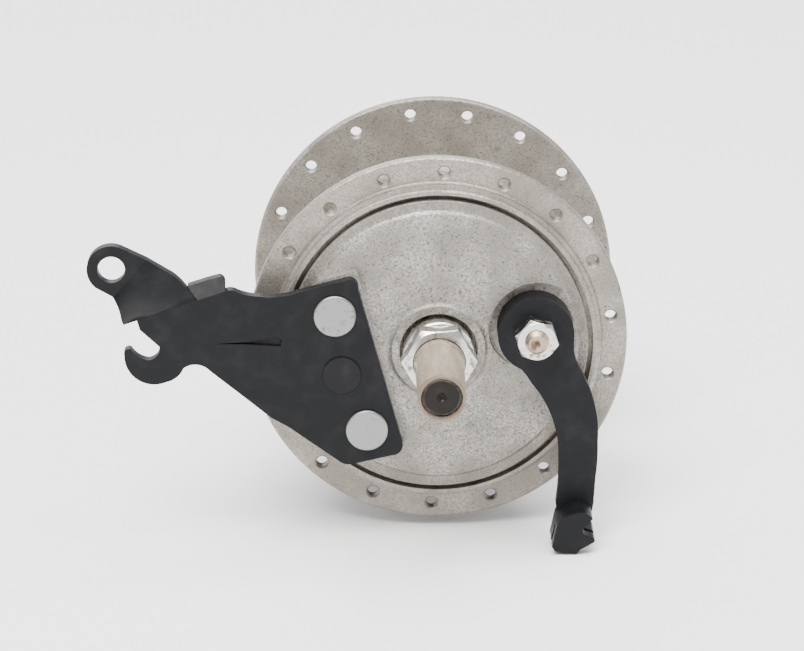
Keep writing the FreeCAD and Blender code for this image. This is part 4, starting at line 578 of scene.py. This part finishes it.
def threaded_rod(name, start, end, major, pitch, look, centre=(0, 0), half_flat=None, bore=0.6,
                 tapered=(True, False), end_look=None):
    """A rod along Y with a helical thread, two optional flats, tapered ends and a bore."""
    depth = pitch * DEPTH_OF_PITCH
    taper = TAPER_OF_DEPTH * depth + TAPER_MORE
    rows = max(4, int(round((end - start) / pitch * PITCH_STEPS)))
    mesh = bmesh.new()
    rings = []
    for row in range(rows + 1):
        y = start + (end - start) * row / rows
        ring = []
        for step in range(TURN_STEPS):
            turn = step / TURN_STEPS
            radius = thread_radius(y, turn, pitch, major, depth)
            if tapered[0]:
                radius = min(radius, major - max(0.0, taper - (y - start)))
            if tapered[1]:
                radius = min(radius, major - max(0.0, taper - (end - y)))
            x = radius * math.cos(2 * math.pi * turn)
            z = radius * math.sin(2 * math.pi * turn)
            if half_flat is not None:
                z = max(-half_flat, min(half_flat, z))
            ring.append(mesh.verts.new(((x + centre[0]) * MM, y * MM, (z + centre[1]) * MM)))
        rings.append(ring)
    for lower, upper in zip(rings, rings[1:]):
        for step in range(TURN_STEPS):
            ahead = (step + 1) % TURN_STEPS
            mesh.faces.new((lower[step], upper[step], upper[ahead], lower[ahead]))
    for ring, y, inward in ((rings[0], start, 1), (rings[-1], end, -1)):
        close_end(mesh, ring, y, inward, bore, centre)
    bmesh.ops.recalc_face_normals(mesh, faces=mesh.faces)
    piece = piece_from(mesh, name, [look, end_look or look])
    for face in piece.data.polygons:
        middle = face.center / MM
        reach = math.hypot(middle.x - centre[0], middle.z - centre[1])
        if end_look and reach < major - taper + 0.05 and abs(face.normal.y) > 0.3:
            face.material_index = 1
    return piece


def close_end(mesh, ring, y, inward, bore, centre):
    """A flat end with a small coned centre hole."""
    mouth = []
    for corner in ring:
        away = Vector((corner.co.x / MM - centre[0], 0, corner.co.z / MM - centre[1]))
        place = away.normalized() * bore
        mouth.append(mesh.verts.new(((place.x + centre[0]) * MM, y * MM, (place.z + centre[1]) * MM)))
    tip = mesh.verts.new((centre[0] * MM, (y + inward * bore * CENTRE_HOLE_DEPTH) * MM, centre[1] * MM))
    for step in range(len(ring)):
        ahead = (step + 1) % len(ring)
        mesh.faces.new((ring[step], ring[ahead], mouth[ahead], mouth[step]))
        mesh.faces.new((mouth[step], mouth[ahead], tip))


# ---------------------------------------------------------------- the pieces

def low_high(node):
    low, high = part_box(node)
    return low / MM, high / MM


LIP_DEPTH = 1.4
LIP_R = 41.2


def make_shell():
    """The casting keeps its CAD shape; the face of its lip is turned bright."""
    lip_y = low_high("hub_shell")[0].y
    shell = opened("hub_shell")
    for face in shell.faces:
        place = face.calc_center_median() / MM
        if place.y < lip_y + LIP_DEPTH and math.hypot(place.x, place.z) < LIP_R:
            face.material_index = 1
    piece = piece_from(shell, "shell_casting", [LOOKS["cast_aluminium"], BRIGHT_LIP])
    stands_for(piece, "hub_shell")


def make_plate():
    plate = opened("brake_plate")
    stands_for(piece_from(plate, "brake_plate_casting", [PLATE]), "brake_plate")


TAB_LINE = ((-80.0, 9.5), (-54.0, 18.0))
TAB_INNER_X = -58
ARM_EDGE = 0.32
LEVER_EDGE = 0.4


def above_tab_line(place):
    (first_x, first_z), (last_x, last_z) = TAB_LINE
    line_z = first_z + (place.x - first_x) * (last_z - first_z) / (last_x - first_x)
    return place.z > line_z and place.x < TAB_INNER_X


LANCE_MARK = [(-57.0, 3.9), (-48.5, 4.3), (-41.8, 5.7), (-40.0, 4.7), (-40.4, 2.9), (-48.5, 3.6)]
LANCE_DEPTH = 0.9
CUTTER_LEAD = 0.5


def make_torque_arm():
    """The arm keeps its pressed shape, with the torn mark of a lance in its front face."""
    front = low_high("torque_arm")[0].y
    arm = carved(opened("torque_arm"), prism(LANCE_MARK, front - CUTTER_LEAD, front + LANCE_DEPTH))
    # The rounded edges take the edge look: a painted highlight with chipped wear.
    soften(arm, ARM_EDGE, edge_slot=1)
    # Faces above the tab line take the tab's lighter blacks, painted light.
    for face in arm.faces:
        if above_tab_line(face.calc_center_median() / MM):
            face.material_index += 2
    looks = [LOOKS["black_paint"], EDGE_HIGHLIGHT_AND_WEAR, TAB_PAINTED_LIGHT, TAB_EDGE_HIGHLIGHT_AND_WEAR]
    stands_for(piece_from(arm, "torque_arm_painted", looks), "torque_arm")


def make_lever():
    lever = opened("brake_lever")
    # The rounded edges take the edge look: a painted highlight with chipped wear.
    soften(lever, LEVER_EDGE, edge_slot=1)
    looks = [LOOKS["black_paint"], EDGE_HIGHLIGHT_AND_WEAR]
    stands_for(piece_from(lever, "brake_lever_painted", looks), "brake_lever")


# Nodes that keep their CAD shape: the width of their rounded edges and their material slot.
ROUNDED_NODES = {
    "torque_arm_rivets": (0.18, "bright_rivet_steel"),
    "fulcrum_pin": (0.3, "bright_rivet_steel"),
    "left_locknut": (0.2, "zinc_steel"),
    "right_locknut": (0.2, "zinc_steel"),
    "lever_nut": (0.15, "zinc_steel"),
    "left_axle_collar": (0.15, "zinc_steel"),
    "right_lock_washer": (0.15, "zinc_steel"),
    "sprocket": (0.15, "chromed_steel"),
    "sprocket_spacers": (0.12, "chromed_steel"),
    "sprocket_circlip": (0.1, "spring_steel"),
}


def make_rounded_nodes():
    for node, (width, slot) in ROUNDED_NODES.items():
        look = PIN_BLACK if node == "fulcrum_pin" else LOOKS[slot]
        mesh = opened(node)
        soften(mesh, width)
        stands_for(piece_from(mesh, node + "_finished", [look]), node)


AXLE_R = 5.155
AXLE_HALF_FLAT = 4.8
AXLE_PITCH = 25.4 / 26
AXLE_CENTRE_HOLE_R = 1.2
ROD_BORE_R = 2.6
THREAD_START_LEFT = 1.0
THREAD_START_RIGHT = 115.0
STUD_R = 3.0
STUD_PITCH = 1.0
STUD_HOLE_R = 0.7
STUD_END_IN_NUT = 0.6  # from the nut's inner face to where the modelled thread stops


def make_axle():
    """The plain middle of the axle, and two threaded ends that meet it inside the locknuts."""
    low, high = low_high("axle")
    middle = opened("axle")
    cut_away(middle, THREAD_START_LEFT, keep_above=True)
    cut_away(middle, THREAD_START_RIGHT, keep_above=False)
    steel = LOOKS["oiled_steel"]
    stands_for(piece_from(middle, "axle_middle", [steel]), "axle")
    left = threaded_rod(
        "axle_thread_left", low.y, THREAD_START_LEFT, AXLE_R, AXLE_PITCH, steel,
        half_flat=AXLE_HALF_FLAT, bore=AXLE_CENTRE_HOLE_R, end_look=DARK_END,
    )
    right = threaded_rod(
        "axle_thread_right", THREAD_START_RIGHT, high.y, AXLE_R, AXLE_PITCH, steel,
        half_flat=AXLE_HALF_FLAT, bore=ROD_BORE_R, tapered=(False, True),
    )
    for piece in (left, right):
        part_of(piece, "axle")


def make_stud():
    """The cam's screwed end shows beyond the lever's nut."""
    tip_y = low_high("brake_cam")[0].y
    nut_low, nut_high = low_high("lever_nut")
    seat = nut_high.y - STUD_END_IN_NUT
    centre = ((nut_low.x + nut_high.x) / 2, (nut_low.z + nut_high.z) / 2)
    cam = opened("brake_cam")
    cut_away(cam, seat, keep_above=True)
    stands_for(piece_from(cam, "brake_cam_forged", [LOOKS["oiled_steel"]]), "brake_cam")
    stud = threaded_rod(
        "brake_cam_stud", tip_y, seat, STUD_R, STUD_PITCH, STUD_END, centre=centre, bore=STUD_HOLE_R,
        end_look=STUD_END,
    )
    part_of(stud, "brake_cam")


def dress_other_nodes():
    """Every CAD node that keeps its own shape takes the look of its material slot."""
    for name, node in frame["nodes"].items():
        if node.hide_render:
            continue
        slot = node.data.materials[0].name.split(".")[0]
        look = DRUM_FACE if name == "drum_liner" else LOOKS[slot]
        for holder in node.material_slots:
            holder.material = look.material


# ---------------------------------------------------------------- camera, light and floor

CAMERA_AZIMUTH = -0.606
CAMERA_ELEVATION = 18.384
CAMERA_ROLL = -0.753
CAMERA_DISTANCE = 1077.7
CAMERA_AIM_SIDE = 9.25
CAMERA_AIM_DOWN = 3.70
AIM_POINT = (0, 19, 0)
LENS = 186.66
SENSOR = 36.0
NEAREST = 10
FARTHEST = 100_000


def make_camera():
    azimuth, elevation, roll = map(math.radians, (CAMERA_AZIMUTH, CAMERA_ELEVATION, CAMERA_ROLL))
    back = Vector((
        math.sin(azimuth) * math.cos(elevation),
        -math.cos(azimuth) * math.cos(elevation),
        math.sin(elevation),
    ))
    level = Vector((math.cos(azimuth), math.sin(azimuth), 0))
    upright = back.cross(level)
    right = math.cos(roll) * level + math.sin(roll) * upright
    up = math.cos(roll) * upright - math.sin(roll) * level
    place = Vector(AIM_POINT) - CAMERA_AIM_SIDE * right + CAMERA_AIM_DOWN * up
    place += CAMERA_DISTANCE * back
    data = bpy.data.cameras.new("camera")
    data.lens = LENS
    data.sensor_width = SENSOR
    data.clip_start = NEAREST * MM
    data.clip_end = FARTHEST * MM
    camera = bpy.data.objects.new("camera", data)
    bpy.context.scene.collection.objects.link(camera)
    turn = Matrix((right, up, back)).transposed()
    camera.matrix_world = Matrix.Translation(place * MM) @ turn.to_4x4()
    bpy.context.scene.camera = camera


LIT_POINT_M = (0, 0.03, 0)


def area_light(name, place, width, height, power, tint=(1, 1, 1)):
    data = bpy.data.lights.new(name, "AREA")
    data.shape = "RECTANGLE"
    data.size = width
    data.size_y = height
    data.energy = power
    data.color = tint
    light = bpy.data.objects.new(name, data)
    bpy.context.scene.collection.objects.link(light)
    light.location = place
    towards = Vector(LIT_POINT_M) - Vector(place)
    light.rotation_euler = towards.to_track_quat("-Z", "Y").to_euler()


FLOOR_GAP = 0.3
FLOOR_HALF_SIDE_M = 6


def make_surroundings():
    """A pale floor just under the hub, a pale sky and four lamps. Lamps are placed in metres."""
    mesh = bmesh.new()
    bmesh.ops.create_grid(mesh, x_segments=1, y_segments=1, size=FLOOR_HALF_SIDE_M)
    data = bpy.data.meshes.new("floor")
    mesh.to_mesh(data)
    mesh.free()
    floor = bpy.data.objects.new("floor", data)
    floor.location = (0, 0, CAD_BOX[0].z - FLOOR_GAP * MM)
    bpy.context.scene.collection.objects.link(floor)
    paper = Look("pale_floor", roughness=0.9)
    cloud = paper.noise(0.002, 3)
    paper.colour(paper.mix(cloud, (0.86, 0.86, 0.86), (0.90, 0.90, 0.89)))
    data.materials.append(paper.material)
    world = bpy.data.worlds.new("studio")
    bpy.context.scene.world = world
    world.use_nodes = True
    sky = world.node_tree.nodes["Background"]
    sky.inputs["Color"].default_value = (0.93, 0.95, 1.0, 1)
    sky.inputs["Strength"].default_value = 0.95
    area_light("key", (-0.35, -0.75, 1.25), width=0.8, height=0.8, power=46, tint=(1.0, 0.98, 0.95))
    area_light("top", (0.25, 0.1, 1.3), width=1.2, height=0.8, power=30)
    area_light("side", (1.3, -0.5, 0.35), width=0.8, height=0.8, power=6, tint=(0.95, 0.97, 1.0))
    area_light("rear", (-0.4, 1.3, 0.8), width=1.2, height=0.9, power=16)


make_camera()
make_surroundings()
make_shell()
make_plate()
make_torque_arm()
make_lever()
make_rounded_nodes()
make_axle()
make_stud()
dress_other_nodes()
